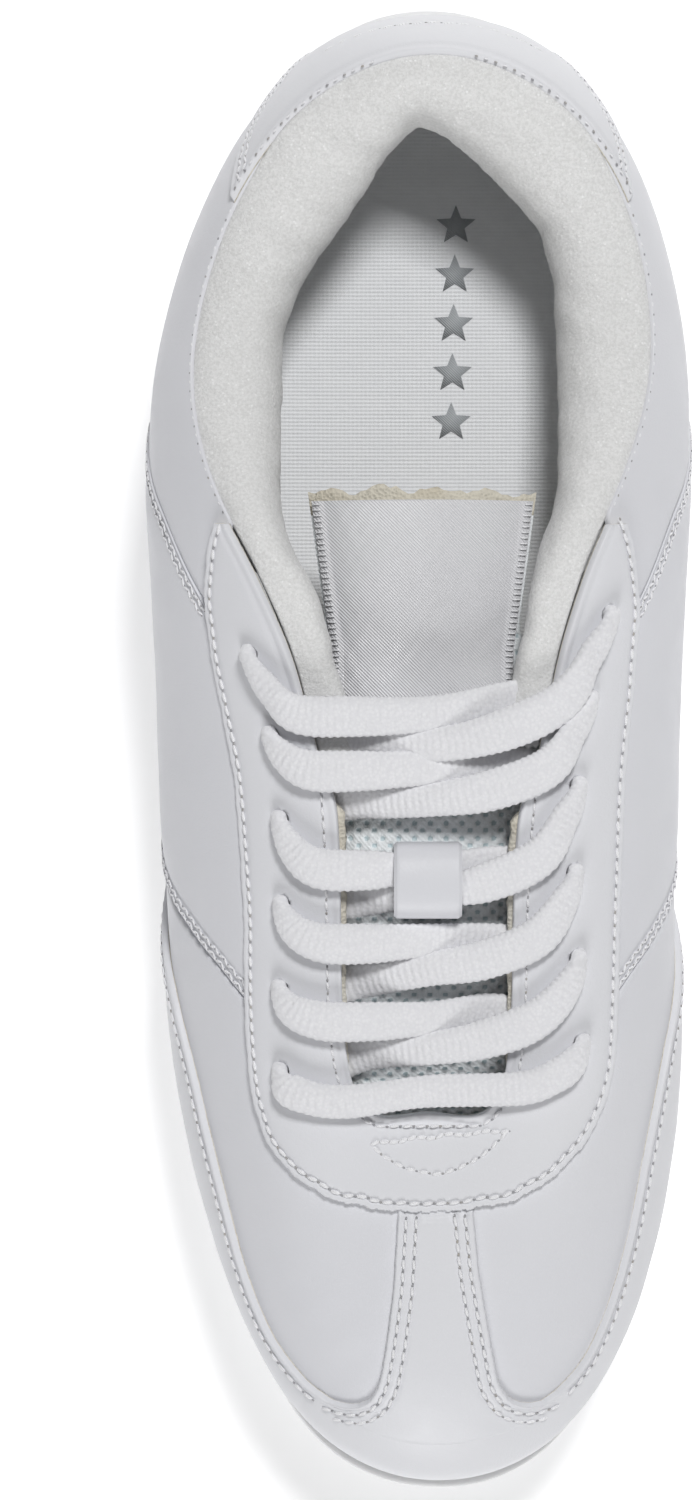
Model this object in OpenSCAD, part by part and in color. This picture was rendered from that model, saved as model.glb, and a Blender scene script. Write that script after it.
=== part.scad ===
// Right-foot cheer shoe: a low lace-up with a cemented sole unit, a stitched leather upper in
// nine panels, a padded collar, a mesh tongue and a criss-crossed flat lace.
// Millimetres. Toe towards -Y, heel towards +Y, inner (medial) side +X, floor at z = 0.

/* [Last] */
// Length of the feather line, where the upper meets the sole
last_length = 254; // [236:1:272]
// Width of the feather line across the ball
last_width = 78; // [72:1:84]
// Height of the collar's front tips above the floor
instep_height = 73; // [68:1:79]

/* [Upper] */
// Thickness of a leather panel
leather_t = 1.2; // [1:0.1:1.3]
// Clearance between layers
layer_gap = 0.3; // [0.25:0.05:0.35]
// Width of the padded roll at the sides of the collar
collar_w = 14.5; // [12:0.5:15]
// Thickness of the tongue's foam
tongue_foam_t = 3.2; // [2.5:0.1:3.5]

/* [Lace] */
// Number of eyelets on each side
eyelet_rows = 6; // [6:1:6]
// Radius of a punched eyelet
eyelet_r = 2.1; // [1.9:0.1:2.3]
// Width of the flat lace
lace_w = 7; // [6:0.5:7.5]
// Thickness of the flat lace
lace_t = 1.6; // [1.2:0.1:1.8]

/* [Sole] */
// How far the sole stands out beyond the feather line
sole_flare = 3.2; // [2.5:0.1:4]
// Height of the toe's bottom edge above the floor
toe_spring = 8; // [5:0.5:10]
// Depth of the tread bars
tread_depth = 1.6; // [1:0.1:2]
// Thickness of the rubber outsole above the tread
outsole_t = 2.6; // [2:0.1:3]
// Thickness of the sockliner
sockliner_t = 3.8; // [3:0.1:4.5]

/* [Hidden] */

LATERAL = -1;
MEDIAL = 1;

// The last, as ribs round the shoe: toe centre, nine ribs back along the medial side, heel
// centre, nine ribs forward along the lateral side. Each rib is a Bezier curve's four points:
// on the feather line, low side, high side, and on the upper's top edge.
LAST = [
    [[3, -127, 20], [3, -134, 36], [2, -108, 47], [1, -64.5, 49.5]],
    [[17, -124.5, 19.5], [21.5, -130.5, 35], [17, -104, 47], [8, -64, 50]],
    [[31, -109, 18], [41, -115, 31], [30, -90, 49], [14.5, -60, 51.5]],
    [[40.5, -70, 16], [54, -71, 26], [37, -60, 54], [15.5, -42, 56.5]],
    [[39.5, -30, 17], [53, -28, 29], [38, -24, 60], [15, -18, 62.5]],
    [[36.5, 10, 19], [53.3, 10, 31], [43, 11, 63], [18.5, 12, 70]],
    [[36, 42, 21], [52, 42, 32], [49, 42, 64], [29.5, 40, 75.5]],
    [[36, 72, 23], [50, 71, 31], [51, 67, 48], [40.5, 66, 56]],
    [[30, 104, 24.5], [41, 107, 34], [40, 103, 55], [35, 97, 61]],
    [[18, 122, 25], [23, 124.5, 35], [23, 122, 62], [19, 113, 66]],
    [[1.5, 127, 25], [1.5, 129.5, 36], [1.7, 126, 64], [1.7, 118.5, 68]],
    [[-15, 122, 25], [-19, 124.5, 35], [-19, 122, 62], [-15, 113, 66]],
    [[-27, 104, 24.5], [-38, 107, 34], [-37, 103, 55], [-31, 97, 61]],
    [[-34, 72, 23], [-50, 71, 31], [-51, 67, 48], [-40.5, 66, 56]],
    [[-37, 42, 21], [-53.4, 42, 32], [-50, 42, 64], [-33.5, 40, 75.5]],
    [[-39, 10, 19], [-53.4, 10, 31], [-43, 11, 63], [-16.5, 13, 70]],
    [[-41, -30, 17], [-53, -28, 29], [-37, -24, 60], [-13.5, -16, 63]],
    [[-37.5, -70, 16], [-48, -71, 26], [-34, -60, 54], [-14, -42, 56.5]],
    [[-25, -109, 18], [-32, -115, 31], [-25, -90, 49], [-12.5, -60, 51.5]],
    [[-11, -124, 19.5], [-13.5, -130.5, 35], [-12, -104, 47], [-6, -64, 50]],
];
RIBS = len(LAST);
HEEL = RIBS / 2;
last_scale = [last_width / 78, last_length / 254, instep_height / 73];

// Seams of the upper, as [rib, height along the rib], with ribs counted from the toe
EYESTAY_EDGE = [[0, 0.875], [1, 0.865], [2, 0.805], [3, 0.685], [4, 0.72], [5, 0.735], [5.5, 0.785],
    [5.85, 0.88], [6.1, 0.965], [6.3, 1]];
TOE_OVERLAY_EDGE = [[0, 0.9], [0.58, 0.9], [0.62, 0.7], [0.68, 0.56], [0.78, 0.48], [1, 0.425],
    [1.5, 0.395], [2, 0.4], [2.5, 0.46], [3, 0.465], [3.4, 0.405], [3.75, 0.3], [4.1, 0.17], [4.35, 0.08]];
SADDLE_FRONT = [[0, 4.6], [0.35, 4.1], [0.52, 3.86], [0.7, 3.45], [1, 2.9]];
SADDLE_REAR = [[0, 7.3], [0.35, 6.75], [0.68, 5.97], [0.76, 5.5], [1, 4.6]];
saddle_top = [0.755, 0.822];
HEEL_OVERLAY_EDGE = [[0, 8.3], [0.2, 8.65], [0.45, 8.8], [0.66, 8.5], [0.8, 8.2], [1, 7.9]];
COLLAR_WIDTH = [[5, 0.3], [5.5, 0.42], [6, 0.55], [6.4, 0.82], [7, 1], [8, 1], [9, 0.93], [10, 0.9]];
collar_start = [5.22, 5.02];

feather_v = 0.03;
top_v = 0.985;
lap_v = 0.06;
board_t = 1.2;
facets_per_rib = 3;

// ---- small helpers ----
function lerp(a, b, t) = a + (b - a) * t;
function clamp01(t) = min(max(t, 0), 1);
function smooth(t) = let(c = clamp01(t)) c * c * (3 - 2 * c);
function times(p, q) = [p[0] * q[0], p[1] * q[1], p[2] * q[2]];
function unit(p) = p / norm(p);
function flat_unit(p) = unit([p[0], p[1], 0]);
function steps(a, b, n) = [for (i = [0:n]) lerp(a, b, i / n)];
function reversed(list) = [for (i = [len(list) - 1:-1:0]) list[i]];
// Distance in ribs from the toe, on either side
function from_toe(u) = abs(u) <= HEEL ? abs(u) : RIBS - abs(u);

// ---- the last's surface ----
function spline_weights(t) =
    [pow(1 - t, 3), 3 * pow(t, 3) - 6 * t * t + 4, -3 * pow(t, 3) + 3 * t * t + 3 * t + 1, pow(t, 3)] / 6;
function spline_slopes(t) = [-pow(1 - t, 2), 3 * t * t - 4 * t, -3 * t * t + 2 * t + 1, t * t] / 2;
function rib_mix(i, w) = [for (c = [0:3])
    times(last_scale, w * [for (k = [-1:2]) LAST[(i + k + 2 * RIBS) % RIBS][c]])];
function bezier(p, v) = pow(1 - v, 3) * p[0] + 3 * v * pow(1 - v, 2) * p[1]
    + 3 * v * v * (1 - v) * p[2] + pow(v, 3) * p[3];
function bezier_slope(p, v) = 3 * (pow(1 - v, 2) * (p[1] - p[0]) + 2 * v * (1 - v) * (p[2] - p[1])
    + v * v * (p[3] - p[2]));
// A point of the upper: u ribs round from the toe, v up the rib, and d outwards from the last
function skin(u, v, d = 0) =
    let(i = floor(u), rib = rib_mix(i, spline_weights(u - i)), slope = rib_mix(i, spline_slopes(u - i)))
    bezier(rib, v) + d * unit(cross(bezier(slope, v), bezier_slope(rib, v)));
function feather(u) = skin(u, 0);
// Level direction pointing into the shoe at rib u
function inwards(u) = let(i = floor(u), run = flat_unit(rib_mix(i, spline_slopes(u - i))[0])) [-run[1],
    run[0], 0];

// ---- closed solids from grids of points ----
module solid(points, faces) {
    polyhedron(points, [for (f = faces) reversed(f)], convexity = 8);
}
// Two layers of points, each a list of rows; outer is the layer that faces away
module slab(outer, inner) {
    rows = len(outer);
    cols = len(outer[0]);
    function at(layer, i, j) = (layer * rows + i) * cols + j;
    function quad(a, b, c, d) = [[a, b, c], [a, c, d]];
    faces = [
        for (i = [0:rows - 2], j = [0:cols - 2]) each concat(
            quad(at(0, i, j), at(0, i + 1, j), at(0, i + 1, j + 1), at(0, i, j + 1)),
            quad(at(1, i, j), at(1, i, j + 1), at(1, i + 1, j + 1), at(1, i + 1, j))),
        for (i = [0:rows - 2]) each concat(
            quad(at(1, i, 0), at(1, i + 1, 0), at(0, i + 1, 0), at(0, i, 0)),
            quad(at(0, i, cols - 1), at(0, i + 1, cols - 1), at(1, i + 1, cols - 1), at(1, i, cols - 1))),
        for (j = [0:cols - 2]) each concat(
            quad(at(0, 0, j), at(0, 0, j + 1), at(1, 0, j + 1), at(1, 0, j)),
            quad(at(1, rows - 1, j), at(1, rows - 1, j + 1), at(0, rows - 1, j + 1), at(0, rows - 1, j))),
    ];
    solid([for (layer = [outer, inner], row = layer) each row], faces);
}
// A sheet on the last: place(s, t) gives [u, v], and the sheet lies from depth low to depth high
module sheet(ss, ts, place, low, high) {
    function layer(d) = [for (s = ss) [for (t = ts) let(p = place(s, t)) skin(p[0], p[1], d)]];
    slab(layer(high), layer(low));
}
// Closed rings one above another, each starting at the toe; the ends close in strips across
module loft(rings) {
    n = len(rings[0]);
    last = (len(rings) - 1) * n;
    function strip(base, j) = j == 0 ? [[base, base + 1, base + n - 1]]
        : j == n / 2 - 1 ? [[base + j, base + j + 1, base + j + 2]]
        : [[base + j, base + j + 1, base + n - j - 1], [base + j, base + n - j - 1, base + n - j]];
    faces = [
        for (r = [0:len(rings) - 2], j = [0:n - 1]) let(a = r * n + j, b = r * n + (j + 1) % n)
            each [[a, b, b + n], [a, b + n, a + n]],
        for (j = [0:n / 2 - 1]) each strip(last, j),
        for (j = [0:n / 2 - 1], f = strip(0, j)) reversed(f),
    ];
    solid([for (ring = rings) each ring], faces);
}
// A tube of 8-sided rings; nodes are [centre, half width, half thickness]. A level one lies flat
// wherever it turns; otherwise its width keeps to the shoe's length.
module ribbon(nodes, level = false) {
    sides = 8;
    n = len(nodes);
    function along(i) = unit(nodes[min(i + 1, n - 1)][0] - nodes[max(i - 1, 0)][0]);
    function ring(i) = let(t = along(i), w = level ? flat_unit([-t[1], t[0], 0]) : unit([0, 1,
        0] - t[1] * t), b = cross(t, w))
        [for (k = [0:sides - 1]) let(a = 360 * (k + 0.5) / sides)
            nodes[i][0] + w * nodes[i][1] * cos(a) + b * nodes[i][2] * sin(a)];
    faces = [
        for (i = [0:n - 2], k = [0:sides - 1])
            let(a = i * sides + k, b = i * sides + (k + 1) % sides)
            each [[a, b, b + sides], [a, b + sides, a + sides]],
        for (k = [1:sides - 2]) each [[0, k + 1, k],
            [(n - 1) * sides, (n - 1) * sides + k, (n - 1) * sides + k + 1]],
    ];
    solid([for (i = [0:n - 1]) each ring(i)], faces);
}

// ---- sole unit ----
sockliner_inset = 5;
// The outline drawn in from the feather line, where it crosses y on one side, found by halving
function station(y, side, low, high, n) = n == 0 ? (low + high) / 2
    : let(mid = (low + high) / 2, p = sole_edge(side > 0 ? mid : RIBS - mid, -sockliner_inset))
      p[1] < y ? station(y, side, mid, high, n - 1) : station(y, side, low, mid, n - 1);
function inset_edge(y, side) = let(k = station(y, side, 0, HEEL, 24)) sole_edge(side > 0 ? k : RIBS - k,
    -sockliner_inset);
SOLE_RIBS = steps(0, RIBS * (1 - 1 / 64), 63);
heel_bevel = 1.5;
end_flare = 1.8;
function ground(y) = toe_spring * pow(max(0, (-62 - y) / 68), 1.8) + heel_bevel * pow(max(0,
    (y - 104) / 28), 2);
// The sole's outline at rib u: grown out from the feather line, at height z or at the feather's own
function sole_edge(u, grow) = let(p = feather(u))
    p - (grow > 0 ? grow + (p[1] > 0 ? 1.3 : 1) * end_flare * smooth((abs(p[1]) - 95) / 30)
        : grow) * inwards(u);
function sole_ring(grow, z) = [for (u = SOLE_RIBS) let(p = sole_edge(u, grow)) [p[0], p[1], z(p)]];
under_tread = function(p) ground(p[1]) + tread_depth;
over_outsole = function(p) ground(p[1]) + tread_depth + outsole_t;

// One bar across the tread at y, with round ends kept inside the sole's outline
module tread_bar(y) {
    slope = ground(y) < 0.3 ? 0 : atan((ground(y + 1) - ground(y - 1)) / 2);
    bar_w = 4.6;
    rim = 2.3;
    left = inset_edge(y, LATERAL)[0] - rim + bar_w / 2;
    right = inset_edge(y, MEDIAL)[0] + rim - bar_w / 2;
    translate([0, y, ground(y)]) rotate([slope, 0, 0]) linear_extrude(tread_depth + 0.8) {
        translate([left, -bar_w / 2]) square([right - left, bar_w]);
        for (x = [left, right]) translate([x, 0]) circle(d = bar_w, $fn = 32);
    }
}
module outsole() {
    tread_pitch = 9;
    color([0.93, 0.94, 0.95]) {
        loft([sole_ring(0.4, under_tread), sole_ring(1.6, over_outsole)]);
        for (y = [-110:tread_pitch:-29]) tread_bar(y);
        for (y = [37:tread_pitch:109]) tread_bar(y);
    }
}
// Grip flutes run round the waist of the sidewall, where a stunt base holds the shoe
module midsole() {
    flute_depth = 0.9;
    flute_pitch = 0.35;
    function flute(u) = let(k = from_toe(u))
        flute_depth * smooth(k - 3.6) * smooth(7.4 - k) * (1 - cos(360 * k / flute_pitch)) / 2;
    ribs = steps(0, RIBS * (1 - 1 / 192), 191);
    function ring(grow, z, cut) = [for (u = ribs) let(p = sole_edge(u, grow - cut * flute(u))) [p[0],
        p[1], z(p)]];
    seat = function(p) p[2] - 0.7;
    middle = function(p) lerp(over_outsole(p), p[2], 0.5);
    color([0.97, 0.97, 0.98]) difference() {
        loft([ring(1.6, function(p) over_outsole(p) + 0.15, 0), ring(sole_flare, middle, 1),
            ring(sole_flare - 1, seat, 0)]);
        shank_shape(layer_gap, 8);
    }
}
// A stadium plate sunk in the midsole's top, grown by the given amount all round and below
module shank_shape(grow, tall) {
    shank_w = 14;
    shank_run = 70;
    translate([0, 38, 18.4 - grow]) rotate([3.3, 0, 0]) linear_extrude(tall) {
        square([shank_w + 2 * grow, shank_run], center = true);
        for (end = [-1, 1]) translate([0, end * shank_run / 2]) circle(d = shank_w + 2 * grow, $fn = 32);
    }
}
module shank() {
    shank_t = 1;
    color([0.75, 0.77, 0.8]) shank_shape(0, shank_t);
}
module strobel_board() {
    color([0.9, 0.88, 0.83]) loft([sole_ring(-1, function(p) p[2] - 0.35), sole_ring(-1,
        function(p) p[2] - 0.35 + board_t)]);
}

// ---- sockliner, split at the hinge line where it peels up ----
hinge_y = -6;
function sockliner_top(p) = p[2] + board_t + sockliner_t;
// The outline between two cuts across the foot, and heights that cup up at the rim
module sockliner(rows) {
    across = steps(0, 1, 8);
    cup = 1.6;
    function point(y, s, lift, dish) = let(a = inset_edge(y, LATERAL), b = inset_edge(y, MEDIAL),
        p = lerp(a, b, s))
        [p[0], y, p[2] + lift + dish * cup * pow(abs(2 * s - 1), 4)];
    function layer(lift, dish) = [for (s = across) [for (y = rows) point(y, s, lift, dish)]];
    slab(layer(board_t + sockliner_t, 1), layer(board_t, 0));
}
module sockliner_forefoot() {
    toe_y = -119.8;
    color([0.86, 0.88, 0.9])
        sockliner([for (a = [90:-7.5:0]) lerp(hinge_y - 0.4, toe_y, sin(a))]);
}
module sockliner_heel() {
    heel_y = 116.6;
    color([0.86, 0.88, 0.9])
        sockliner([for (a = [0:7.5:90]) lerp(hinge_y, heel_y, sin(a))]);
}

// ---- stiffeners ----
function edge_at(table, k) = lookup(k, table);
module toe_puff() {
    depth = -leather_t - 1.5 * layer_gap;
    color([0.88, 0.86, 0.8])
        sheet(steps(-2.4, 2.4, 14), steps(0, 1, 5),
            function(s, t) [s, lerp(feather_v, 0.5 - 0.035 * s * s, t)], depth - 0.8, depth);
}
module heel_counter() {
    depth = -leather_t - 1.5 * layer_gap;
    color([0.88, 0.86, 0.8])
        sheet(steps(HEEL - 2.6, HEEL + 2.6, 16), steps(0, 1, 5),
            function(s, t) [s, lerp(feather_v + 0.03, 0.72 - 0.05 * pow(abs(s - HEEL), 2), t)],
                depth - 0.8, depth);
}

// ---- leather panels: base panels below the last's surface, overlays above it ----
base_high = -layer_gap / 2;
base_low = base_high - leather_t;
over_low = layer_gap / 2;
over_high = over_low + leather_t;
// Ribs run forward on the lateral side, so its panels take negative ribs
function on_side(side, k) = side > 0 ? k : -k;
module base_panel(side, ss, ts, place) {
    sheet(side > 0 ? ss : reversed(ss), ts, function(s, t) let(p = place(s, t)) [on_side(side, p[0]), p[1]],
        base_low, base_high);
}
module toe_overlay() {
    ks = [0, 0.3, 0.57, 0.62, 0.68, 0.78, 1, 1.25, 1.5, 1.75, 2, 2.25, 2.5, 2.75, 3, 3.2, 3.4, 3.6, 3.75,
        3.95, 4.1, 4.35];
    ribs = concat([for (i = [len(ks) - 1:-1:1]) -ks[i]], ks);
    color([0.93, 0.93, 0.96])
        sheet(ribs, steps(0, 1, 6),
            function(s, t) [s, lerp(feather_v, min(edge_at(TOE_OVERLAY_EDGE, abs(s)),
                edge_at(EYESTAY_EDGE, abs(s)) - 0.02), t)],
            over_low, over_high);
}
module vamp(side) {
    // From under the overlay's stem to the saddle's seam
    color([0.94, 0.94, 0.97])
        base_panel(side, steps(0, 1, 12), steps(0, 1, 8), function(s, t)
            let(v_low = max(feather_v, 0.33 - lap_v - 0.5 * smooth(s * 2.2 - 1.2)),
                v = lerp(v_low, edge_at(EYESTAY_EDGE, 3.4 * s) + lap_v, t),
                k = lerp(0.5, edge_at(SADDLE_FRONT, v) - 0.03, s)) [k, min(v, edge_at(EYESTAY_EDGE,
                    k) + lap_v)]);
}
module saddle(side) {
    color([0.93, 0.93, 0.96])
        base_panel(side, steps(0, 1, 9), steps(0, 1, 8), function(s, t)
            let(v = lerp(feather_v, lerp(saddle_top[0], saddle_top[1], s), t))
            [lerp(edge_at(SADDLE_FRONT, v), edge_at(SADDLE_REAR, v) - 0.03, s), v]);
}
module quarter(side) {
    color([0.94, 0.94, 0.97])
        base_panel(side, steps(0, 1, 12), steps(0, 1, 8), function(s, t)
            let(front = edge_at(SADDLE_REAR, lerp(feather_v, saddle_top[1], t)) + 0.03, rear = 9.3,
                top_k = lerp(edge_at(SADDLE_REAR, saddle_top[1]) + 0.03, rear, s),
                top = min(top_v, edge_at(EYESTAY_EDGE, top_k) + lap_v))
            [lerp(front, rear, s), lerp(feather_v, top, t)]);
}
module heel_overlay() {
    color([0.93, 0.93, 0.96])
        sheet(steps(-1, 1, 14), steps(0, 1, 8), function(s, t)
            let(v = lerp(feather_v, top_v, t)) [HEEL + s * (HEEL - edge_at(HEEL_OVERLAY_EDGE, v)), v],
                over_low, over_high);
}

// ---- eyestay and its eyelets ----
function eyelet_rib(side, i) = side > 0 ? 5.4 - 0.472 * i : 5.16 - 0.46 * i;
function eyelet_v(i) = 0.878 - 0.003 * i * i;
function eyelet(side, i, d = 0) = skin(on_side(side, eyelet_rib(side, i)), eyelet_v(i), d);
module eyelet_holes() {
    for (side = [LATERAL, MEDIAL], i = [0:eyelet_rows - 1]) {
        axis = unit(eyelet(side, i, 1) - eyelet(side, i));
        translate(eyelet(side, i)) rotate([0, acos(axis[2]), atan2(axis[1], axis[0])])
            cylinder(r = eyelet_r, h = 8, center = true, $fn = 20);
    }
}
module eyestay() {
    end = 6.05;
    color([0.94, 0.94, 0.97]) difference() {
        sheet(steps(-end, end, 36), steps(0, 1, 4), function(s, t) [s, lerp(edge_at(EYESTAY_EDGE,
            abs(s)), 1, t)],
            over_low, over_high);
        eyelet_holes();
    }
}
module eyestay_backing() {
    end = 4.95;
    color([0.9, 0.88, 0.83]) difference() {
        sheet(steps(-end, end, 30), steps(0, 1, 2),
            function(s, t) [s, lerp(edge_at(EYESTAY_EDGE, abs(s)) + lap_v + 0.015, 0.995, t)], base_low,
                base_high);
        eyelet_holes();
    }
}
module vamp_lining() {
    end = 5.3;
    depth = -3;
    color([0.9, 0.91, 0.92])
        sheet(steps(-end, end, 32), steps(0, 1, 6),
            function(s, t) [s, lerp(feather_v + 0.02, edge_at(EYESTAY_EDGE, abs(s)) + 0.02, t)],
                depth - 0.8, depth);
}

// ---- padded collar ----
// The lining's profile at rib u: a roll over the top edge, then a wall down to the insole. e sinks it inwards.
function collar_profile(u, t, e) =
    let(k = from_toe(u), into = inwards(u), full = smooth((k - 5.6) / 0.5), w = collar_w * lookup(k,
        COLLAR_WIDTH) - e,
        rise = lerp(1.4, 3.4, full) - e, start = skin(u, 1, -1.8) + into * (0.8 + 0.4 * e),
        q0 = start, q1 = start + into * 0.3 * w + [0, 0, rise], q2 = start + into * 1.06 * w + [0, 0, rise],
        q3 = start + into * 1.03 * w - [0, 0, lerp(3, 8, full)],
        low = feather(u) + into * (2.4 + 0.9 * smooth((k - 8.6) / 0.8) - e) + [0, 0, board_t + 0.3],
        foot = lerp(q3 - into * 0.35 * w - [0, 0, 2.5 - e], low, full),
        q4 = lerp(lerp(q3, foot, 0.35), skin(u, 0.5) + into * (5.5 - e), full),
        q5 = lerp(lerp(q3, foot, 0.75), skin(u, 0.25) + into * (5 - e), full))
    t < 0.55 ? bezier([q0, q1, q2, q3], t / 0.55) : bezier([q3, q4, q5, foot], (t - 0.55) / 0.45);
// The foam's back, against the stiffeners
function collar_back(u, t) =
    let(full = smooth((from_toe(u) - 5.6) / 0.5), low_v = lerp(0.95, 0.1, full)) skin(u, lerp(0.985,
        low_v, t), -2.95);
COLLAR_RIBS = steps(collar_start[0], RIBS - collar_start[1], 42);
module collar_layer(outer, inner, n) {
    ts = steps(0, 1, n);
    slab([for (u = COLLAR_RIBS) [for (t = ts) outer(u, t)]],
        [for (u = COLLAR_RIBS) [for (t = ts) inner(u, t)]]);
}
module collar_lining() {
    color([0.9, 0.9, 0.88])
        collar_layer(function(u, t) collar_profile(u, t, 0), function(u, t) collar_profile(u, t, 0.9), 12);
}
module collar_foam() {
    color([0.93, 0.92, 0.86])
        collar_layer(function(u, t) collar_profile(u, lerp(0.04, 0.97, t), 1.45), function(u,
            t) collar_back(u, t), 12);
}

// ---- tongue ----
TONGUE_LINE = [[0, -74, 42], [0, -48, 56], [0, -5, 65], [0, 44, 65.4]];
flip_y = 17;
tongue_crown = 9;
tongue_half_w = 22;
tongue_mesh_t = 1;
function tongue_t(y, low = 0, high = 1, n = 20) = n == 0 ? (low + high) / 2
    : let(mid = (low + high) / 2) bezier(TONGUE_LINE, mid)[1] < y ? tongue_t(y, mid, high, n - 1)
        : tongue_t(y, low, mid, n - 1);
// How far the tongue's edges drop below its middle
function crown(t) = lerp(3, tongue_crown, smooth(2 * t));
function tongue_at(x, t, d) = let(p = bezier(TONGUE_LINE, t), run = unit(bezier_slope(TONGUE_LINE, t)))
    p + [x, 0, -crown(t) * pow(x / tongue_half_w, 2)] + d * [0, -run[2], run[1]];
flip_t = tongue_t(flip_y);
tongue_gap_t = 0.006;
function tongue_top_half_w(t) = 13.8 + 5.5 * (t - flip_t) / (1 - flip_t);
module tongue_slab(from_t, to_t, half_w, low, high, rows) {
    ts = steps(from_t, to_t, rows);
    function layer(d) = [for (s = steps(-1, 1, 8)) [for (t = ts) tongue_at(s * half_w(t), t, d)]];
    slab(layer(high), layer(low));
}
module tongue_mesh() {
    color([0.85, 0.91, 0.92])
        tongue_slab(0, flip_t - tongue_gap_t, function(t) tongue_half_w, -tongue_mesh_t, 0, 14);
}
module tongue_foam() {
    high = -tongue_mesh_t - 0.2;
    color([0.88, 0.85, 0.78])
        tongue_slab(0, flip_t - tongue_gap_t, function(t) tongue_half_w, high - tongue_foam_t, high, 14);
}
module tongue_top_mesh() {
    color([0.85, 0.91, 0.92])
        tongue_slab(flip_t + tongue_gap_t, 1, function(t) tongue_top_half_w(t), -tongue_mesh_t, 0, 8);
}
module tongue_top_foam() {
    high = -tongue_mesh_t - 0.2;
    color([0.88, 0.85, 0.78])
        tongue_slab(flip_t + tongue_gap_t, 1, function(t) tongue_top_half_w(t), high - tongue_foam_t,
            high, 8);
}
// A satin strip over the tongue's face, round its end and a little way back underneath
module tongue_label() {
    label_t = 0.5;
    thick = tongue_mesh_t + 0.2 + tongue_foam_t;
    under = 0.3;
    end = bezier(TONGUE_LINE, 1);
    run = unit(bezier_slope(TONGUE_LINE, 1));
    lift = [0, -run[2], run[1]];
    function turn(x, a, r) = end + [x, 0, -tongue_crown * pow(x / tongue_half_w, 2)] - lift * thick / 2
        + run * (r * sin(a) + 0.1) + lift * r * cos(a);
    function strip(s, r) = concat(
        [for (t = steps(flip_t + 0.04, 0.99, 8)) tongue_at(s * (tongue_top_half_w(t) - 0.4), t,
            r - thick / 2)],
        [for (a = [15:30:165]) turn(s * (tongue_top_half_w(1) - 0.4), a, r)],
        [for (t = steps(0.99, 0.93, 2)) tongue_at(s * (tongue_top_half_w(t) - 0.4), t, -r - thick / 2)]);
    function layer(r) = [for (s = steps(-1, 1, 6)) strip(s, r)];
    color([0.95, 0.95, 0.98]) slab(layer(thick / 2 + under + label_t), layer(thick / 2 + under));
}

// ---- shoelace ----
lace_over = over_high + lace_t / 2 + 0.45;
lace_under = base_low - lace_t / 2 - 0.45;
hole_lace_r = 1.1;
// Where the throat's edge stands at rib k, midway between the two sides, and level with it
function throat_middle(side, k) = (skin(on_side(side, k), 1) + skin(on_side(-side, k - 0.3), 1)) / 2;
// Ribs at whose level each crossing passes the throat's middle, and how far from its far eyelet's
// rib it slips under the other flap. The two crossings of a row lie side by side in the middle.
MIDDLE_RIB = [[4.94, 4.62, 4.018, 3.525, 2.91], [4.755, 4.43, 3.846, 3.31, 2.62]];
FAR_SHIFT = [[-0.04, 0.04, -0.1, -0.17, -0.24], [-0.08, -0.02, -0.18, -0.32, -0.5]];
middle_rise = 1.7;
// Share of the way forward to the middle that a crossing has gone past its eyelet, on the flap and at its edge
DROP = [[0.6, 0.92, 1], [0.3, 0.62, 0.8]];
// The rib that crosses y at height v on one side, found by halving
function level_rib(side, v, y, low = 1.5, high = 6, n = 18) = n == 0 ? (low + high) / 2
    : let(mid = (low + high) / 2) skin(on_side(side, mid), v)[1] < y ? level_rib(side, v, y, mid, high, n - 1)
    : level_rib(side, v, y, low, mid, n - 1);
// Up through eyelet i, over the flap, across the gap and under the other flap
function crossing(side, i) =
    let(k = eyelet_rib(side, i), v = eyelet_v(i), s = side, b = -side, kb = eyelet_rib(-side, i + 1),
        vb = eyelet_v(i + 1),
        wide = lace_w / 2, thin = lace_t / 2, squeezed = i == 2 ? wide * 0.62 : wide * 0.76,
            set = side == MEDIAL ? 1 : 0,
        middle = throat_middle(MEDIAL, MIDDLE_RIB[set][i]) + [0, 0, middle_rise], shift = FAR_SHIFT[set][i],
        drop = function(at_v, n, lift) skin(on_side(s, level_rib(s, at_v, lerp(eyelet(s, i)[1],
            middle[1], DROP[set][n]))), at_v, lace_over + lift))
    [[eyelet(s, i, -2.3), hole_lace_r, hole_lace_r], [eyelet(s, i, 2.3), hole_lace_r, hole_lace_r],
     [drop(v + 0.035, 0, 0.4), wide * 0.7, thin],
     [drop(lerp(v, 1, 0.6), 1, 0.5), wide, thin],
     [lerp(drop(1, 2, 0.5), middle, 0.3), wide, thin],
     [middle, squeezed, thin],
     [lerp(middle, skin(on_side(b, kb + shift), 1, lace_under - 0.4), 0.75), wide * 0.9, thin],
     [skin(on_side(b, kb + 0.7 * shift), lerp(vb, 1, 0.7), lace_under - 0.4), wide * 0.9, thin],
     [skin(on_side(b, kb + 0.2 * shift), lerp(vb, 1, 0.3), lace_under - 0.6), wide * 0.5, thin]];
function chain(side, i) = i == eyelet_rows - 1 ? [] : concat(crossing(side, i), chain(-side, i + 1));
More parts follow.
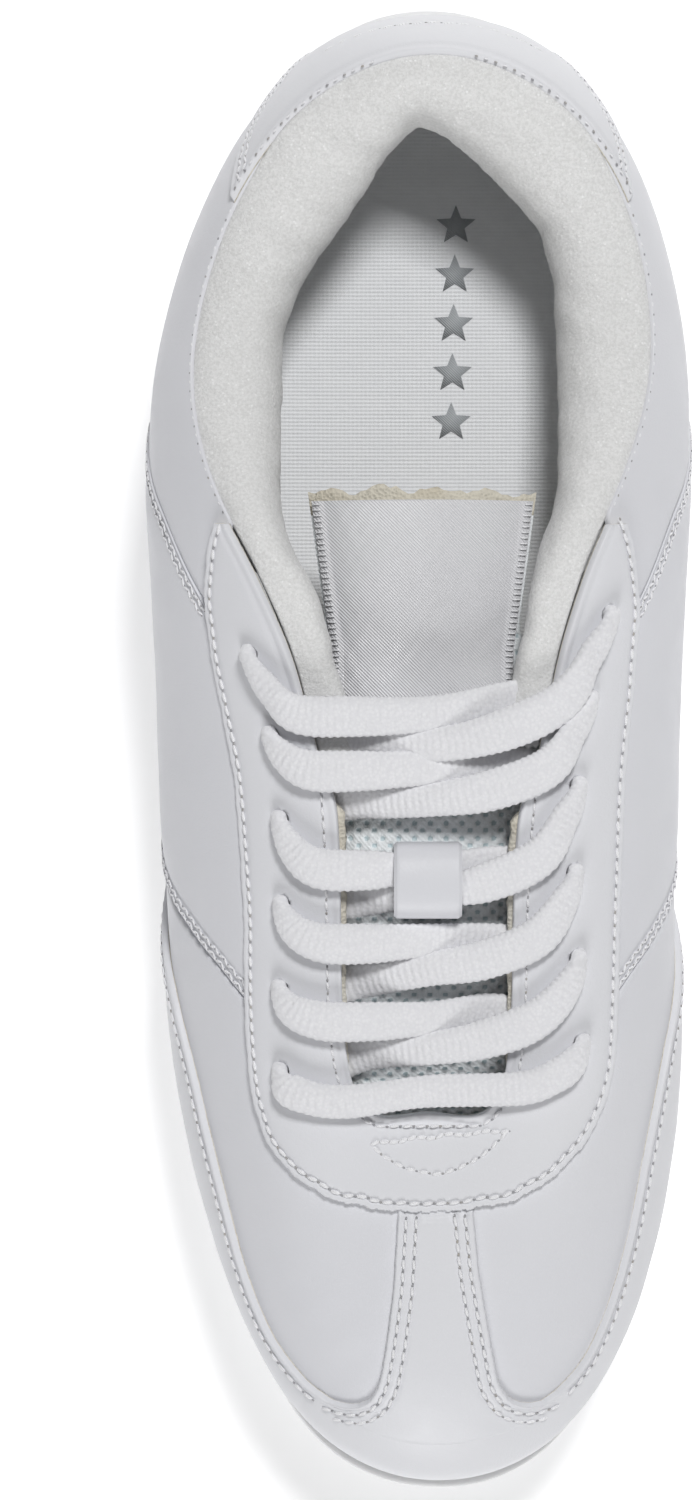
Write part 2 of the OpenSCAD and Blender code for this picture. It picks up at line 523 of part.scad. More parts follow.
// Where the lowest bar lies on each flap, as [rib, height along the rib]
BAR_POINTS = [[[2.68, 0.811], [2.41, 0.879], [2.01, 0.965]], [[2.85, 0.838], [2.62, 0.89], [2.4, 0.937]]];
function bar(side) =
    let(i = eyelet_rows - 1, wide = lace_w / 2, thin = lace_t / 2, on = BAR_POINTS[side == MEDIAL ? 1 : 0])
    [[eyelet(side, i, -2.3), hole_lace_r, hole_lace_r], [eyelet(side, i, 2.3), hole_lace_r, hole_lace_r],
     for (n = [0:2]) [skin(on_side(side, on[n][0]), on[n][1], lace_over + 0.45), n == 0 ? wide * 0.8
         : wide, thin]];
module shoelace() {
    middle = throat_middle(LATERAL, 2) + [0, 0, 2.9];
    color([0.95, 0.95, 0.97])
        ribbon(concat(chain(LATERAL, 0), bar(MEDIAL), [[middle, lace_w / 2, lace_t / 2]],
            reversed(bar(LATERAL)),
            reversed(chain(MEDIAL, 0))));
}
// The free ends are tucked inside, under the tongue and folded on the insole.
// Points of the lateral end below its eyelet; the medial end mirrors them.
LACE_TUCK = [[28, 14, 58], [31, 5, 48], [31, -8, 38], [29.5, -20, 30.8], [28, -33, 25.9], [27.5, -47, 24.3],
    [27, -60, 24.1], [24.5, -71, 24.1], [19.5, -78, 24.1], [13.5, -79, 24], [8, -74.5, 23.8], [5, -66, 23.6],
    [4.2, -55, 23.5], [4.2, -44, 23.9], [4.2, -38, 24.2]];
TIP_POINTS = [[4.2, -37.6, 24.2], [4.2, -18, 25.4]];
function tuck(side, p) = times(last_scale, [side * p[0], p[1], p[2]]);
module lace_end(side) {
    flat_from = 3;
    color([0.95, 0.95, 0.97]) ribbon(concat(
        [[eyelet(side, 0, -2.2), hole_lace_r, hole_lace_r], [eyelet(side, 0, -5.5), hole_lace_r * 1.3,
            lace_t / 2]],
        [for (i = [0:len(LACE_TUCK) - 1])
            [tuck(side, LACE_TUCK[i]), i < flat_from ? lace_w * 0.4 : lace_w / 2, lace_t / 2]]),
                level = true);
}
module lace_tip(side) {
    tip_r = 1.5;
    a = tuck(side, TIP_POINTS[0]);
    b = tuck(side, TIP_POINTS[1]);
    color([0.92, 0.93, 0.95]) translate(a) rotate([-acos((b - a)[2] / norm(b - a)), 0,
        0]) cylinder(r = tip_r, h = norm(b - a), $fn = 24);
}
// A leather strap on the tongue that the third crossing runs through
module lace_keeper() {
    keeper_w = 11.5;
    keeper_t = 0.9;
    half = 5.6;
    middle = throat_middle(MEDIAL, 3.932);
    t0 = tongue_t(middle[1]);
    crest = middle[2] + 5;
    function arch(x, a, grow) = let(y = middle[1] - half * cos(a) * (1 + grow / half), p = tongue_at(x,
        tongue_t(y), 0))
        [x, y, max(lerp(p[2] + 0.15, crest, pow(sin(a), 0.3)) + grow * sin(a), p[2] + 0.15)];
    function layer(grow) = [for (x = steps(-keeper_w / 2, keeper_w / 2, 2)) [for (a = [0:15:180]) arch(x,
        a, grow)]];
    color([0.95, 0.95, 0.97]) slab(layer(keeper_t), layer(0));
}

outsole();
midsole();
shank();
strobel_board();
sockliner_forefoot();
sockliner_heel();
toe_puff();
heel_counter();
toe_overlay();
vamp(LATERAL);  // vamp_lateral
vamp(MEDIAL);  // vamp_medial
saddle(LATERAL);  // saddle_lateral
saddle(MEDIAL);  // saddle_medial
quarter(LATERAL);  // quarter_lateral
quarter(MEDIAL);  // quarter_medial
heel_overlay();
eyestay();
eyestay_backing();
vamp_lining();
collar_foam();
collar_lining();
tongue_mesh();
tongue_foam();
tongue_top_mesh();
tongue_top_foam();
tongue_label();
lace_keeper();
shoelace();
lace_end(LATERAL);  // lace_end_lateral
lace_end(MEDIAL);  // lace_end_medial
lace_tip(LATERAL);  // lace_tip_lateral
lace_tip(MEDIAL);  // lace_tip_medial
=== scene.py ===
import math

import bpy
import numpy as np
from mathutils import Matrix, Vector


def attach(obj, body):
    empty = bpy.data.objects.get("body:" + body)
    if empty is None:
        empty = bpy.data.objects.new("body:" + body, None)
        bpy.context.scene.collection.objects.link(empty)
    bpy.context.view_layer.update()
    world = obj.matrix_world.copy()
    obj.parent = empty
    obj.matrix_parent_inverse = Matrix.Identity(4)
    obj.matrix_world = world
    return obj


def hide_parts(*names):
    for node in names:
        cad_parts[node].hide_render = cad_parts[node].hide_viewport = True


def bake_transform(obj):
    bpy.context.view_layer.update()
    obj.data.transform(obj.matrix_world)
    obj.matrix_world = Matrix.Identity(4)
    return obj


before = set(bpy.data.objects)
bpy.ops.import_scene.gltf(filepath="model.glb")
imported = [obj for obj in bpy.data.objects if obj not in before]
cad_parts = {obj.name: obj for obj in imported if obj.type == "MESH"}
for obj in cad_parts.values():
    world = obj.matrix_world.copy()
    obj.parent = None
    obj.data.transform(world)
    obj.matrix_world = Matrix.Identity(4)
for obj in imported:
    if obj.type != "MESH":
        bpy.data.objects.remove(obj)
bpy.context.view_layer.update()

MM = 0.001
TURN = 2 * math.pi
RIBS = 20
HEEL = 10.0         # the rib at the middle of the heel; rib 0 is at the toe
LATERAL, MEDIAL = -1, 1
SIDES = ((LATERAL, "lateral"), (MEDIAL, "medial"))

# Depths of the layers from the last's surface, in millimetres, outwards positive
BASE_LOW, BASE_HIGH, OVER_LOW, OVER_HIGH = -1.35, -0.15, -0.3, 1.2
LINING_LOW, LINING_HIGH = -3.8, -3.0

# The last, rib by rib from the toe round the medial side, as part.scad has it, in millimetres
LAST = np.array([
    [[3, -127, 20], [3, -134, 36], [2, -108, 47], [1, -64.5, 49.5]],
    [[17, -124.5, 19.5], [21.5, -130.5, 35], [17, -104, 47], [8, -64, 50]],
    [[31, -109, 18], [41, -115, 31], [30, -90, 49], [14.5, -60, 51.5]],
    [[40.5, -70, 16], [54, -71, 26], [37, -60, 54], [15.5, -42, 56.5]],
    [[39.5, -30, 17], [53, -28, 29], [38, -24, 60], [15, -18, 62.5]],
    [[36.5, 10, 19], [53.3, 10, 31], [43, 11, 63], [18.5, 12, 70]],
    [[36, 42, 21], [52, 42, 32], [49, 42, 64], [29.5, 40, 75.5]],
    [[36, 72, 23], [50, 71, 31], [51, 67, 48], [40.5, 66, 56]],
    [[30, 104, 24.5], [41, 107, 34], [40, 103, 55], [35, 97, 61]],
    [[18, 122, 25], [23, 124.5, 35], [23, 122, 62], [19, 113, 66]],
    [[1.5, 127, 25], [1.5, 129.5, 36], [1.7, 126, 64], [1.7, 118.5, 68]],
    [[-15, 122, 25], [-19, 124.5, 35], [-19, 122, 62], [-15, 113, 66]],
    [[-27, 104, 24.5], [-38, 107, 34], [-37, 103, 55], [-31, 97, 61]],
    [[-34, 72, 23], [-50, 71, 31], [-51, 67, 48], [-40.5, 66, 56]],
    [[-37, 42, 21], [-53.4, 42, 32], [-50, 42, 64], [-33.5, 40, 75.5]],
    [[-39, 10, 19], [-53.4, 10, 31], [-43, 11, 63], [-16.5, 13, 70]],
    [[-41, -30, 17], [-53, -28, 29], [-37, -24, 60], [-13.5, -16, 63]],
    [[-37.5, -70, 16], [-48, -71, 26], [-34, -60, 54], [-14, -42, 56.5]],
    [[-25, -109, 18], [-32, -115, 31], [-25, -90, 49], [-12.5, -60, 51.5]],
    [[-11, -124, 19.5], [-13.5, -130.5, 35], [-12, -104, 47], [-6, -64, 50]],
], float)

# ---- surface of the last


def ribs(u):
    """Control points of the rib at u, and their slope along u."""
    i = np.floor(u).astype(int)
    t = u - i
    w = np.stack([(1 - t) ** 3, 3 * t**3 - 6 * t**2 + 4, -3 * t**3 + 3 * t**2 + 3 * t + 1, t**3], -1) / 6
    dw = np.stack([-((1 - t) ** 2), 3 * t * t - 4 * t, -3 * t * t + 2 * t + 1, t * t], -1) / 2
    P = LAST[(i[..., None] + np.arange(-1, 3)) % RIBS]
    return np.einsum("...k,...kcx->...cx", w, P), np.einsum("...k,...kcx->...cx", dw, P)


def bez(P, v):
    """A point at v on cubic Beziers."""
    v = np.asarray(v, float)[..., None]
    return (1 - v) ** 3 * P[..., 0, :] + 3 * v * (1 - v) ** 2 * P[..., 1, :] + 3 * v * v * (1 - v) * P[..., 2,
            :] + v**3 * P[..., 3, :]


def bez_d(P, v):
    """The slope at v of cubic Beziers."""
    v = np.asarray(v, float)[..., None]
    return 3 * ((1 - v) ** 2 * (P[..., 1, :] - P[..., 0, :]) + 2 * v * (1 - v) * (P[..., 2, :] - P[..., 1,
            :]) + v * v * (P[..., 3, :] - P[..., 2, :]))


def unit(a):
    a = np.asarray(a, float)
    return a / np.maximum(np.linalg.norm(a, axis=-1, keepdims=True), 1e-9)


def frame_at(u, v):
    """Point, slope along the shoe, slope up the rib and outward normal."""
    u, v = np.broadcast_arrays(np.asarray(u, float), np.asarray(v, float))
    P, Q = ribs(u)
    su, sv = bez(Q, v), bez_d(P, v)
    return bez(P, v), su, sv, unit(np.cross(su, sv))


def skin(u, v, d=0.0):
    """A point on the last, or d millimetres out from it."""
    p, _, _, n = frame_at(u, v)
    return p + np.asarray(d, float)[..., None] * n


def feather(u):
    """The lower edge, where the upper meets the sole."""
    return skin(u, 0.0)


def inwards(u):
    """The level direction from the feather line into the shoe."""
    u = np.asarray(u, float)
    _, Q = ribs(u)
    r = Q[..., 0, :].copy()
    r[..., 2] = 0
    r = unit(r)
    return np.stack([-r[..., 1], r[..., 0], 0 * r[..., 0]], -1)


def lerp(a, b, t):
    return a + (b - a) * t


def smooth(t):
    t = np.clip(t, 0, 1)
    return t * t * (3 - 2 * t)


def curve(table, blur=0.1):
    """A smooth function through a given table of pairs."""
    xs, ys = np.array(table, float).T
    n = 700
    g = np.linspace(xs[0], xs[-1], n)
    y = np.interp(g, xs, ys)
    w = max(1, int(blur * n / (xs[-1] - xs[0])))
    k = np.hanning(2 * w + 3)
    k /= k.sum()
    pad = len(k) // 2
    left = 2 * y[0] - y[pad:0:-1]
    right = 2 * y[-1] - y[-2:-pad - 2:-1]
    y = np.convolve(np.concatenate([left, y, right]), k, "valid")
    return lambda x: np.interp(x, g, y)


# Seams, in ribs from the toe (lateral side negative) and height along the rib
EYESTAY = curve([(-6.25, 1.02), (-6.04, .97), (-5.82, .88), (-5.5, .79), (-5.16, .75), (-4.86, .745), (-4.54, .75),
                 (-4.14, .74),
                 (-3.78, .735), (-3.36, .71), (-2.92, .69), (-2.62, .70), (-2.32, .745), (-1.96, .80), (-1.28, .855),
                 (-.5, .873),
                 (.12, .876), (.92, .87), (1.74, .835), (2.26, .78), (2.6, .73), (2.84, .70), (3.05, .684),
                 (3.38, .69), (4.08, .70),
                 (4.6, .72), (4.98, .73), (5.44, .77), (5.76, .845), (6.04, .94), (6.25, 1.02)], .14)
RIDGE = curve([(-4.4, .05), (-4.0, .19), (-3.66, .335), (-3.4, .405), (-3.14, .443), (-2.82, .45), (-2.6, .447),
               (-2.3, .41), (-1.94, .375),
               (-1.5, .385), (-1.16, .405), (0, .405), (1.02, .41), (1.4, .405), (1.7, .412), (2.1, .455), (2.54, .49),
               (2.8, .497), (3.04, .48), (3.3, .445), (3.48, .395), (3.74, .295), (4.05, .16), (4.4, .04)], .2)
STRIP = {LATERAL: curve([(.34, 1.5), (.38, 1.36), (.405, 1.18), (.44, .93), (.485, .77), (.54, .68), (.62, .63),
                         (.745, .57), (.90, .58)], .03),
         MEDIAL: curve([(.34, 1.55), (.38, 1.4), (.41, 1.15), (.44, .97), (.48, .83), (.535, .74), (.62, .72),
                        (.77, .70), (.90, .78)], .03)}
FRONT = curve([(0, 4.62), (.345, 4.1), (.495, 3.87), (.62, 3.62), (.715, 3.36), (.8, 3.1)], .05)
REAR = curve([(0, 7.3), (.35, 6.75), (.68, 5.97), (.76, 5.5), (.83, 5.22), (1, 4.6)], .05)
HEEL_EDGE = curve([(0, 8.3), (.2, 8.65), (.45, 8.84), (.63, 8.6), (.79, 8.2), (1, 7.86)], .08)
TOPLINE = curve([(0, 1), (4.25, 1), (4.5, .972), (4.8, .965), (5.2, .972), (5.7, .975), (6.2, .958), (7.0, .943),
                 (7.8, .945), (8.6, .962), (9.3, .978), (10, .985), (10.7, .978), (11.4, .962),
                 (12.2, .945), (13.0, .943), (13.8, .958), (14.3, .975), (14.8, .972), (15.2, .965), (15.5, .972),
                 (15.75, 1), (20, 1)], .16)

# ---- procedural materials


class Nodes:
    """A small builder for one material's node tree."""

    def __init__(self, name, colour, rough, **sockets):
        self.mat = bpy.data.materials.new(name)
        self.mat.use_nodes = True
        self.tree = self.mat.node_tree
        self.shader = self.tree.nodes["Principled BSDF"]
        self.shader.inputs["Base Color"].default_value = (*colour, 1)
        self.shader.inputs["Roughness"].default_value = rough
        for k, v in sockets.items():
            self.shader.inputs[k.replace("_", " ")].default_value = v
        self.coords = self.add("ShaderNodeTexCoord").outputs["Object"]
        self.bump_in = None
        self.colour = colour

    def add(self, kind, ins=None, **props):
        node = self.tree.nodes.new(kind)
        for k, v in props.items():
            setattr(node, k, v)
        for k, v in (ins or {}).items():
            self.plug(node.inputs[k], v)
        return node

    def plug(self, socket, value):
        if isinstance(value, bpy.types.NodeSocket):
            self.tree.links.new(value, socket)
        else:
            socket.default_value = value

    def math(self, op, a, b=0.0, c=0.0):
        n = self.add("ShaderNodeMath", operation=op)
        for i, x in enumerate((a, b, c)):
            self.plug(n.inputs[i], x)
        return n.outputs[0]

    def noise(self, scale, detail, rough=0.55):
        ins = {"Vector": self.coords, "Scale": scale, "Detail": detail, "Roughness": rough}
        return self.add("ShaderNodeTexNoise", ins).outputs["Fac"]

    def voronoi(self, scale, feature="F1"):
        ins = {"Vector": self.coords, "Scale": scale}
        return self.add("ShaderNodeTexVoronoi", ins, feature=feature).outputs["Distance"]

    def wave(self, scale, direction, distortion, where=None, detail_scale=1.0):
        ins = {"Vector": where or self.coords, "Scale": scale, "Distortion": distortion, "Detail": 2.0,
               "Detail Scale": detail_scale}
        return self.add("ShaderNodeTexWave", ins, wave_type="BANDS", bands_direction=direction).outputs["Fac"]

    def ramp(self, fac, low, high, a=0.0, b=1.0):
        n = self.add("ShaderNodeMapRange", {"Value": fac, "From Min": low, "From Max": high, "To Min": a, "To Max": b})
        return n.outputs["Result"]

    def tint(self, fac, other):
        """Mixes the base colour towards another by a factor."""
        base = self.shader.inputs["Base Color"]
        n = self.add("ShaderNodeMix", data_type="RGBA")
        n.inputs[0].default_value = 0
        self.plug(n.inputs[0], fac)
        if base.is_linked:
            self.plug(n.inputs[6], base.links[0].from_socket)
        else:
            n.inputs[6].default_value = (*self.colour, 1)
        n.inputs[7].default_value = (*other, 1)
        self.tree.links.new(n.outputs[2], base)

    def bump(self, height, strength, distance):
        ins = {"Height": height, "Strength": strength, "Distance": distance}
        if self.bump_in is not None:
            ins["Normal"] = self.bump_in
        self.bump_in = self.add("ShaderNodeBump", ins).outputs["Normal"]
        self.tree.links.new(self.bump_in, self.shader.inputs["Normal"])

    def roughness(self, fac, low, high):
        self.plug(self.shader.inputs["Roughness"], self.ramp(fac, 0.3, 0.7, low, high))


def leather_material(name, colour):
    m = Nodes(name, colour, 0.46, Coat_Weight=0.02, Coat_Roughness=0.35, Specular_IOR_Level=0.26)
    pores = m.voronoi(1150, "DISTANCE_TO_EDGE")
    m.tint(m.ramp(m.noise(46, 4), 0.35, 0.75, 0, 0.35), tuple(c * 0.955 for c in colour))
    m.tint(m.ramp(m.noise(9, 3), 0.45, 0.8, 0, 0.25), (0.80, 0.80, 0.80))
    m.bump(m.ramp(pores, 0.0, 0.16), 0.16, 0.00008)
    m.bump(m.noise(380, 4, 0.6), 0.18, 0.00014)
    m.bump(m.noise(34, 3), 0.22, 0.0009)
    m.roughness(m.noise(150, 3), 0.36, 0.50)
    return m.mat


def cloth_edge_material(name, colour):
    m = Nodes(name, colour, 0.85, Specular_IOR_Level=0.2)
    cells = m.voronoi(1700)
    m.tint(m.ramp(cells, 0.1, 0.5, 0.5, 0), tuple(c * 0.72 for c in colour))
    m.tint(m.ramp(m.noise(130, 4), 0.45, 0.75, 0, 0.5), (0.62, 0.55, 0.42))
    m.bump(cells, 0.6, 0.0004)
    m.bump(m.noise(900, 4), 0.3, 0.0003)
    return m.mat


def pile_material(name):
    m = Nodes(name, (0.88, 0.88, 0.875), 0.82, Sheen_Weight=0.25, Sheen_Roughness=0.4, Specular_IOR_Level=0.3)
    fuzz = m.noise(1500, 5, 0.7)
    m.tint(m.ramp(m.noise(2000, 3, 0.6), 0.4, 0.62, 0, 0.6), (0.70, 0.70, 0.69))
    # painted glint: white specks in the base colour stand in for the pile's sparkling highlights; the same specks also
    # lower the roughness, which is real gloss
    painted_glint_and_gloss = m.math("MULTIPLY", m.ramp(m.voronoi(1200), 0.30, 0.12, 0, 1), m.ramp(m.noise(700, 2), 0.5, 0.56))
    m.tint(painted_glint_and_gloss, (1.0, 1.0, 1.0))
    # painted shade: the cover's inner wall, by its "wall" value, is tinted dark grey for the shade inside the heel
    m.tint(m.add("ShaderNodeAttribute", attribute_name="wall").outputs["Fac"], (0.36, 0.37, 0.37))
    m.plug(m.shader.inputs["Roughness"], m.math("MULTIPLY_ADD", painted_glint_and_gloss, -0.6, 0.82))
    m.bump(fuzz, 0.7, 0.0005)
    m.bump(m.noise(110, 4), 0.25, 0.0008)
    return m.mat


def ribbed_material(name):
    m = Nodes(name, (0.93, 0.94, 0.96), 0.86, Sheen_Weight=0.2, Sheen_Roughness=0.5, Specular_IOR_Level=0.3)
    rib = m.wave(470, "Y", 0.5, detail_scale=180)
    cross = m.wave(420, "X", 1.2, detail_scale=90)
    m.tint(m.ramp(rib, 0.2, 0.75, 0.28, 0), (0.80, 0.82, 0.84))
    m.tint(m.ramp(m.noise(240, 4), 0.45, 0.7, 0, 0.35), (0.96, 0.97, 0.98))
    glint = m.math("MULTIPLY", m.ramp(m.voronoi(1500), 0.16, 0.05), m.ramp(m.noise(700, 2), 0.55, 0.62))
    m.tint(glint, (0.95, 0.97, 0.98))
    m.bump(rib, 0.4, 0.00022)
    m.bump(cross, 0.3, 0.00018)
    m.bump(m.noise(1100, 4), 0.3, 0.0002)
    return m.mat


def satin_material(name):
    m = Nodes(name, (0.80, 0.80, 0.82), 0.34, Sheen_Weight=0.25, Sheen_Roughness=0.3, Specular_IOR_Level=0.6)
    split = m.add("ShaderNodeSeparateXYZ", {"Vector": m.coords})
    diag = m.math("ADD", split.outputs[0], split.outputs[1])
    where = m.add("ShaderNodeCombineXYZ", {"X": diag}).outputs[0]
    twill = m.wave(520, "X", 0.4, where=where)
    warp = m.wave(1300, "X", 0.6)
    m.tint(m.ramp(twill, 0.2, 0.8, 0.55, 0), (0.56, 0.56, 0.58))
    m.tint(m.ramp(m.noise(60, 3), 0.4, 0.8, 0, 0.3), (0.72, 0.72, 0.75))
    m.bump(twill, 0.6, 0.00018)
    m.bump(warp, 0.2, 0.00008)
    m.bump(m.noise(40, 3), 0.3, 0.0012)
    m.roughness(m.noise(260, 2), 0.26, 0.42)
    return m.mat


def knit_material(name, colour, dark):
    m = Nodes(name, colour, 0.78, Sheen_Weight=0.3, Sheen_Roughness=0.45, Specular_IOR_Level=0.35)
    cells = m.voronoi(1500)
    m.tint(m.ramp(cells, 0.25, 0.6, 0, 0.5), dark)
    m.tint(m.ramp(m.noise(180, 3), 0.45, 0.75, 0, 0.3), tuple(c * 0.93 for c in colour))
    m.bump(m.noise(1600, 4, 0.7), 0.45, 0.0003)
    m.bump(cells, 0.35, 0.00025)
    return m.mat


def spacer_mesh_material(name, colour, dark):
    """Knit with open eyes, which are tinted dark as painted shade; the mesh's own "open" value says where they are."""
    m = Nodes(name, colour, 0.75, Sheen_Weight=0.25, Sheen_Roughness=0.45, Specular_IOR_Level=0.35)
    eye_shade = m.add("ShaderNodeAttribute", attribute_name="open").outputs["Fac"]
    cells = m.voronoi(2300)
    m.tint(m.ramp(cells, 0.25, 0.6, 0, 0.4), tuple(c * .85 for c in colour))
    # painted shade: the open eyes are tinted dark for the shade seen down into them
    m.tint(m.ramp(eye_shade, 0.35, 0.8, 0, 0.85), dark)
    m.bump(m.noise(2600, 4, 0.7), 0.45, 0.0003)
    m.bump(m.wave(620, "DIAGONAL", 1.0), 0.3, 0.0002)
    return m.mat


def moulded_material(name, colour, rough):
    m = Nodes(name, colour, rough, Specular_IOR_Level=0.4)
    m.tint(m.ramp(m.noise(26, 4), 0.4, 0.8, 0, 0.35), tuple(c * 0.93 for c in colour))
    m.tint(m.ramp(m.noise(210, 4), 0.6, 0.8, 0, 0.3), (0.62, 0.61, 0.58))
    m.bump(m.noise(900, 4, 0.6), 0.28, 0.00018)
    m.bump(m.voronoi(520), 0.10, 0.0001)
    m.roughness(m.noise(120, 3), rough - 0.08, rough + 0.08)
    return m.mat


def thread_material(name, colour):
    m = Nodes(name, colour, 0.45, Sheen_Weight=0.2, Specular_IOR_Level=0.5)
    twist = m.wave(1300, "DIAGONAL", 0.3)
    m.tint(m.ramp(twist, 0.2, 0.6, 0.35, 0), tuple(c * 0.8 for c in colour))
    m.bump(twist, 0.5, 0.00012)
    return m.mat


def board_material(name, colour):
    m = Nodes(name, colour, 0.85)
    m.tint(m.ramp(m.noise(500, 5), 0.4, 0.7, 0, 0.6), tuple(c * 0.8 for c in colour))
    m.bump(m.wave(500, "X", 3.0), 0.3, 0.0002)
    m.bump(m.wave(500, "Y", 3.0), 0.3, 0.0002)
    return m.mat


MATS = {
    "overlay_leather": leather_material("leather_overlay", (0.765, 0.77, 0.80)),
    "panel_leather": leather_material("leather_panel", (0.74, 0.745, 0.78)),
    "collar_fabric": pile_material("collar_pile"),
    "sockliner_fabric": ribbed_material("sockliner_rib"),
    "satin": satin_material("label_satin"),
    "lace": knit_material("lace_knit", (0.86, 0.86, 0.88), (0.76, 0.76, 0.79)),
    # the tongue mesh's dark second colour is painted shade in its open eyes
    "tongue_mesh": spacer_mesh_material("mesh_knit", (0.95, 0.985, 1.0), (0.50, 0.60, 0.63)),
    "foam": cloth_edge_material("raw_foam", (0.72, 0.68, 0.58)),
    "backing_fabric": cloth_edge_material("backing_cloth", (0.74, 0.71, 0.63)),
    "rubber": moulded_material("outsole_rubber", (0.74, 0.75, 0.76), 0.55),
    "eva": moulded_material("midsole_eva", (0.88, 0.88, 0.89), 0.5),
    "thread": thread_material("white_thread", (0.93, 0.93, 0.95)),
    "board": board_material("fibre_board", (0.70, 0.66, 0.58)),
    "stiffener": board_material("stiffener_sheet", (0.66, 0.63, 0.56)),
    "shank_plastic": moulded_material("shank_plastic", (0.45, 0.47, 0.50), 0.4),
    "tip_plastic": moulded_material("tip_plastic", (0.80, 0.81, 0.83), 0.25),
    "painted_hole_shade": cloth_edge_material("needle_hole_shade", (0.40, 0.40, 0.42)),
    "print": thread_material("grey_print", (0.42, 0.44, 0.46)),
}

# ---- meshes


def mesh_piece(name, verts, faces, slot, body="shoe", hide=(), ride=True):
    """One visible piece; hide names the CAD nodes it stands for, and a piece blended over a joint doesn't ride."""
    me = bpy.data.meshes.new(name)
    me.from_pydata((np.asarray(verts, float) * MM).tolist(), [], [list(map(int, f)) for f in faces])
    me.validate()
    me.polygons.foreach_set("use_smooth", np.ones(len(me.polygons), bool))
    me.materials.append(MATS[slot])
    o = bpy.data.objects.new(name, me)
    bpy.context.scene.collection.objects.link(o)
    if ride:
        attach(o, body)
    if hide:
        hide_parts(*hide)
    return o


def slab_faces(n, m):
    """Quads of a closed slab between two n by m grids of points, the outer grid first."""
    outer, inner = np.arange(2 * n * m).reshape(2, n, m)

    def quads(g):
        return np.stack([g[:-1, :-1], g[1:, :-1], g[1:, 1:], g[:-1, 1:]], -1).reshape(-1, 4)

    walls = ((inner[:, 0], outer[:, 0]), (outer[:, -1], inner[:, -1]), (outer[0], inner[0]), (inner[-1], outer[-1]))
    return np.concatenate([quads(outer), quads(inner)[:, [0, 3, 2, 1]]] + [quads(np.stack(w, 1)) for w in walls])


def tube_faces(rows, n, base=0, caps=True):
    """Quads round a tube of rows rings with n points each, and a cap on each end."""
    i, j = (q.ravel() for q in np.meshgrid(np.arange(rows - 1), np.arange(n), indexing="ij"))
    j1 = (j + 1) % n
    faces = (base + np.stack([i * n + j, i * n + j1, (i + 1) * n + j1, (i + 1) * n + j], 1)).tolist()
    if caps:
        faces += [[base + k for k in range(n)][::-1], [base + (rows - 1) * n + k for k in range(n)]]
    return faces


def slab(name, outer, inner, slot, **kw):
    """A closed sheet between two grids of points."""
    n, m = outer.shape[:2]
    return mesh_piece(name, np.concatenate([outer.reshape(-1, 3), inner.reshape(-1, 3)]), slab_faces(n, m), slot, **kw)


def knots(count, length, radius=0.8, stitch=2.0):
    """Values from 0 to 1, close together by both ends, where a cut edge rolls over and its stitches sit."""
    near = np.array([.1, .3, .6, 1.0]) * radius
    near = np.concatenate([near, stitch + np.array([-.7, -.35, 0, .35, .7])]) / length
    return np.unique(np.concatenate([np.linspace(0, 1, count), near, 1 - near]).clip(0, 1).round(5))


FAR = 1e3       # the distance, in millimetres, given where there is no edge


def edge_distance(p, sides):
    """Distance in millimetres to the nearest of the grid's named sides: s0, s1, t0, t1."""
    a = np.concatenate([np.zeros((1, p.shape[1])), np.cumsum(np.linalg.norm(np.diff(p, axis=0), axis=2), 0)])
    b = np.concatenate([np.zeros((p.shape[0], 1)), np.cumsum(np.linalg.norm(np.diff(p, axis=1), axis=2), 1)], 1)
    d = {"s0": a, "s1": a[-1] - a, "t0": b, "t1": b[:, -1:] - b}
    return np.minimum.reduce([d[k] for k in sides] + [np.full(p.shape[:2], FAR)])


def ripple(p, scale, seed):
    """Smooth, repeatable unevenness from a few waves."""
    rng = np.random.default_rng(seed)
    out = 0
    for _ in range(6):
        k = rng.normal(size=3) / scale
        out = out + np.sin(p @ k * 2 * math.pi + rng.uniform(0, 6.28))
    return out / 6


def panel(name, ss, ts, place, low, high, slot, roll=(), grooves=(), puff=0.0, hide=(), radius=0.8, seed=1):
    """Leather on the last between depths low and high.

    place turns grid values into rib and height. The edges named by roll are rounded to a radius, each groove is a
    stitch line's dip at that distance from them, and puff swells the middle.
    """
    S, T = np.meshgrid(ss, ts, indexing="ij")
    U, V = place(S, T)
    mid = skin(U, V)
    e = edge_distance(mid, roll)
    h = np.sqrt(1 - (1 - np.minimum(e / radius, 1)) ** 2)
    D = low + (high - low) * (0.2 + 0.8 * h)
    for g in grooves:
        D = D - 0.22 * np.exp(-(((e - g) / 0.55) ** 2))
    D = D + puff * smooth((e - 2.5) / 9) * (e < FAR) + 0.12 * ripple(mid, 26, seed) * smooth(e / 5)
    return slab(name, skin(U, V, D), skin(U, V, low), slot, hide=hide)


def offset_curve(u, v, dist):
    """Moves a line drawn on the last sideways by a distance, to its left as seen from outside."""
    p, su, sv, n = frame_at(u, v)
    t = unit(np.gradient(p, axis=0))
    side = np.cross(n, t) * dist
    a, b, c = (su * su).sum(-1), (su * sv).sum(-1), (sv * sv).sum(-1)
    x, y = (side * su).sum(-1), (side * sv).sum(-1)
    det = a * c - b * b
    return u + (c * x - b * y) / det, v + (a * y - b * x) / det


STITCHES = []
NEEDLE_HOLE_SHADES = []


